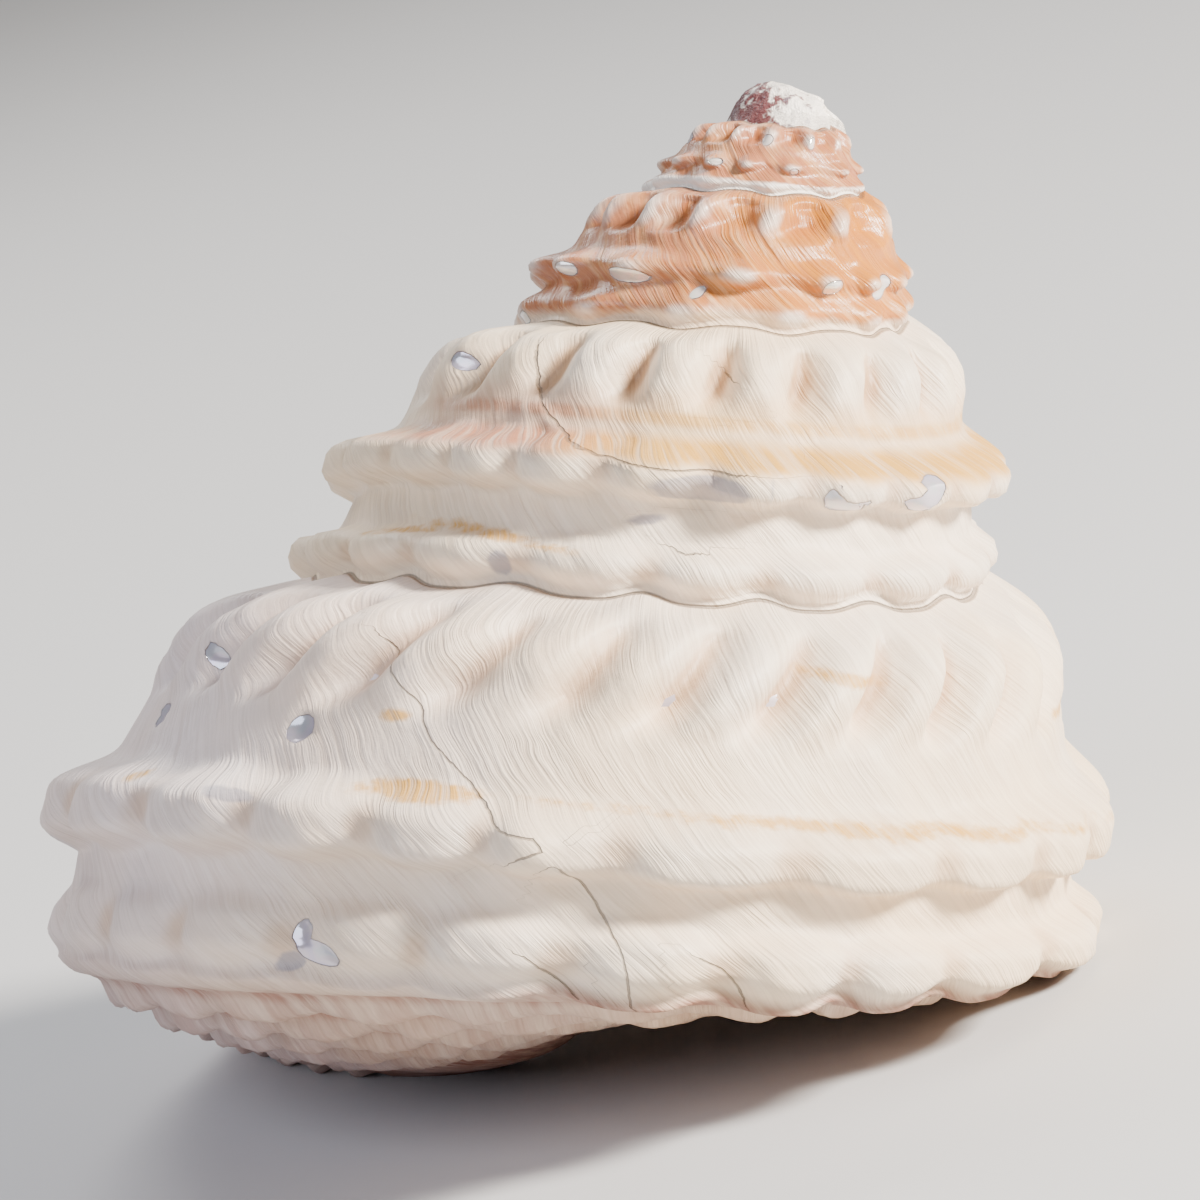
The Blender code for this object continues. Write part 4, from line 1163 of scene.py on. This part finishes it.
class SHELL_OT_build_stage(bpy.types.Operator):
    """Build the floor, the lights and the camera"""

    bl_idname = "turban.build_stage"
    bl_label = "Build Stage"

    def execute(self, context):
        """Lay the floor, hang the lights and place the camera."""
        settings = context.scene.shell_stage
        add_floor(context, settings)
        for name, place, size, power, colour in LIGHTS:
            add_light(context, name, place, size, getattr(settings, power), colour)
        add_sky(context, settings.sky)
        add_camera(context)
        return {"FINISHED"}


def add_floor(context, settings):
    """A flat square at the height of the shell's rest."""
    half = settings.floor_size / 2
    corners = [(-half, -half, 0), (half, -half, 0), (half, half, 0), (-half, half, 0)]
    mesh = bpy.data.meshes.new("floor")
    mesh.from_pydata(corners, [], [(0, 1, 2, 3)])
    mesh.materials.append(stage_material("paper", tuple(settings.floor_colour)))
    floor = bpy.data.objects.new("floor", mesh)
    context.collection.objects.link(floor)


def add_light(context, name, place, size, power, colour):
    """A square soft light that faces the shell."""
    data = bpy.data.lights.new(name, "AREA")
    data.size = size
    data.energy = power
    data.color = colour
    light = bpy.data.objects.new(name, data)
    light.location = place
    aim = Vector(LIGHT_AIM) - Vector(place)
    light.rotation_euler = aim.to_track_quat("-Z", "Y").to_euler()
    context.collection.objects.link(light)


def add_sky(context, strength):
    """Even pale light from all round."""
    world = bpy.data.worlds.new("studio")
    world.use_nodes = True
    back = world.node_tree.nodes["Background"]
    back.inputs["Color"].default_value = SKY_COLOUR
    back.inputs["Strength"].default_value = strength
    context.scene.world = world


def add_camera(context):
    """Camera of the photograph's view: set in the shell's own frame, then laid down with it."""
    tilt = Matrix.Rotation(radians(90 - VIEW_PITCH), 4, "X")
    roll = Matrix.Rotation(radians(VIEW_ROLL), 4, "Z")
    away = Matrix.Translation((0, 0, VIEW_DISTANCE))
    own = Matrix.Translation(VIEW_TARGET) @ tilt @ roll @ away
    world = rest_pose() @ own
    place, turn, _ = world.decompose()
    data = bpy.data.cameras.new("camera")
    data.sensor_width = 36.0
    data.angle = 2 * atan(VIEW_WIDTH / 2 / VIEW_DISTANCE)
    data.clip_start = 0.01
    camera = bpy.data.objects.new("camera", data)
    camera.location = place
    camera.rotation_euler = turn.to_euler()
    context.collection.objects.link(camera)
    context.scene.camera = camera


class SHELL_PT_panel(bpy.types.Panel):
    """Sidebar panel with the shell's operators and settings"""

    bl_idname = "SHELL_PT_panel"
    bl_label = "Turban Shell"
    bl_space_type = "VIEW_3D"
    bl_region_type = "UI"
    bl_category = "Turban Shell"

    def draw(self, context):
        """List the operators and the settings."""
        self.layout.operator("turban.build_shell")
        self.layout.operator("turban.build_stage")
        for name in ShellColours.__annotations__:
            self.layout.prop(context.scene.shell_colours, name)
        for name in StageSettings.__annotations__:
            self.layout.prop(context.scene.shell_stage, name)


CLASSES = (ShellColours, StageSettings, SHELL_OT_build_shell, SHELL_OT_build_stage, SHELL_PT_panel)


def register():
    """Register the classes and hang the settings on the scene."""
    for kind in CLASSES:
        bpy.utils.register_class(kind)
    bpy.types.Scene.shell_colours = bpy.props.PointerProperty(type=ShellColours)
    bpy.types.Scene.shell_stage = bpy.props.PointerProperty(type=StageSettings)


def unregister():
    """Take the settings and the classes away again."""
    del bpy.types.Scene.shell_stage
    del bpy.types.Scene.shell_colours
    for kind in reversed(CLASSES):
        bpy.utils.unregister_class(kind)


def plain(box):
    """A box as plain lists of numbers."""
    return [[float(value) for value in corner] for corner in box]


def main():
    """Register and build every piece."""
    register()
    bpy.ops.turban.build_shell()
    bpy.ops.turban.build_stage()


if __name__ == "__main__":
    main()
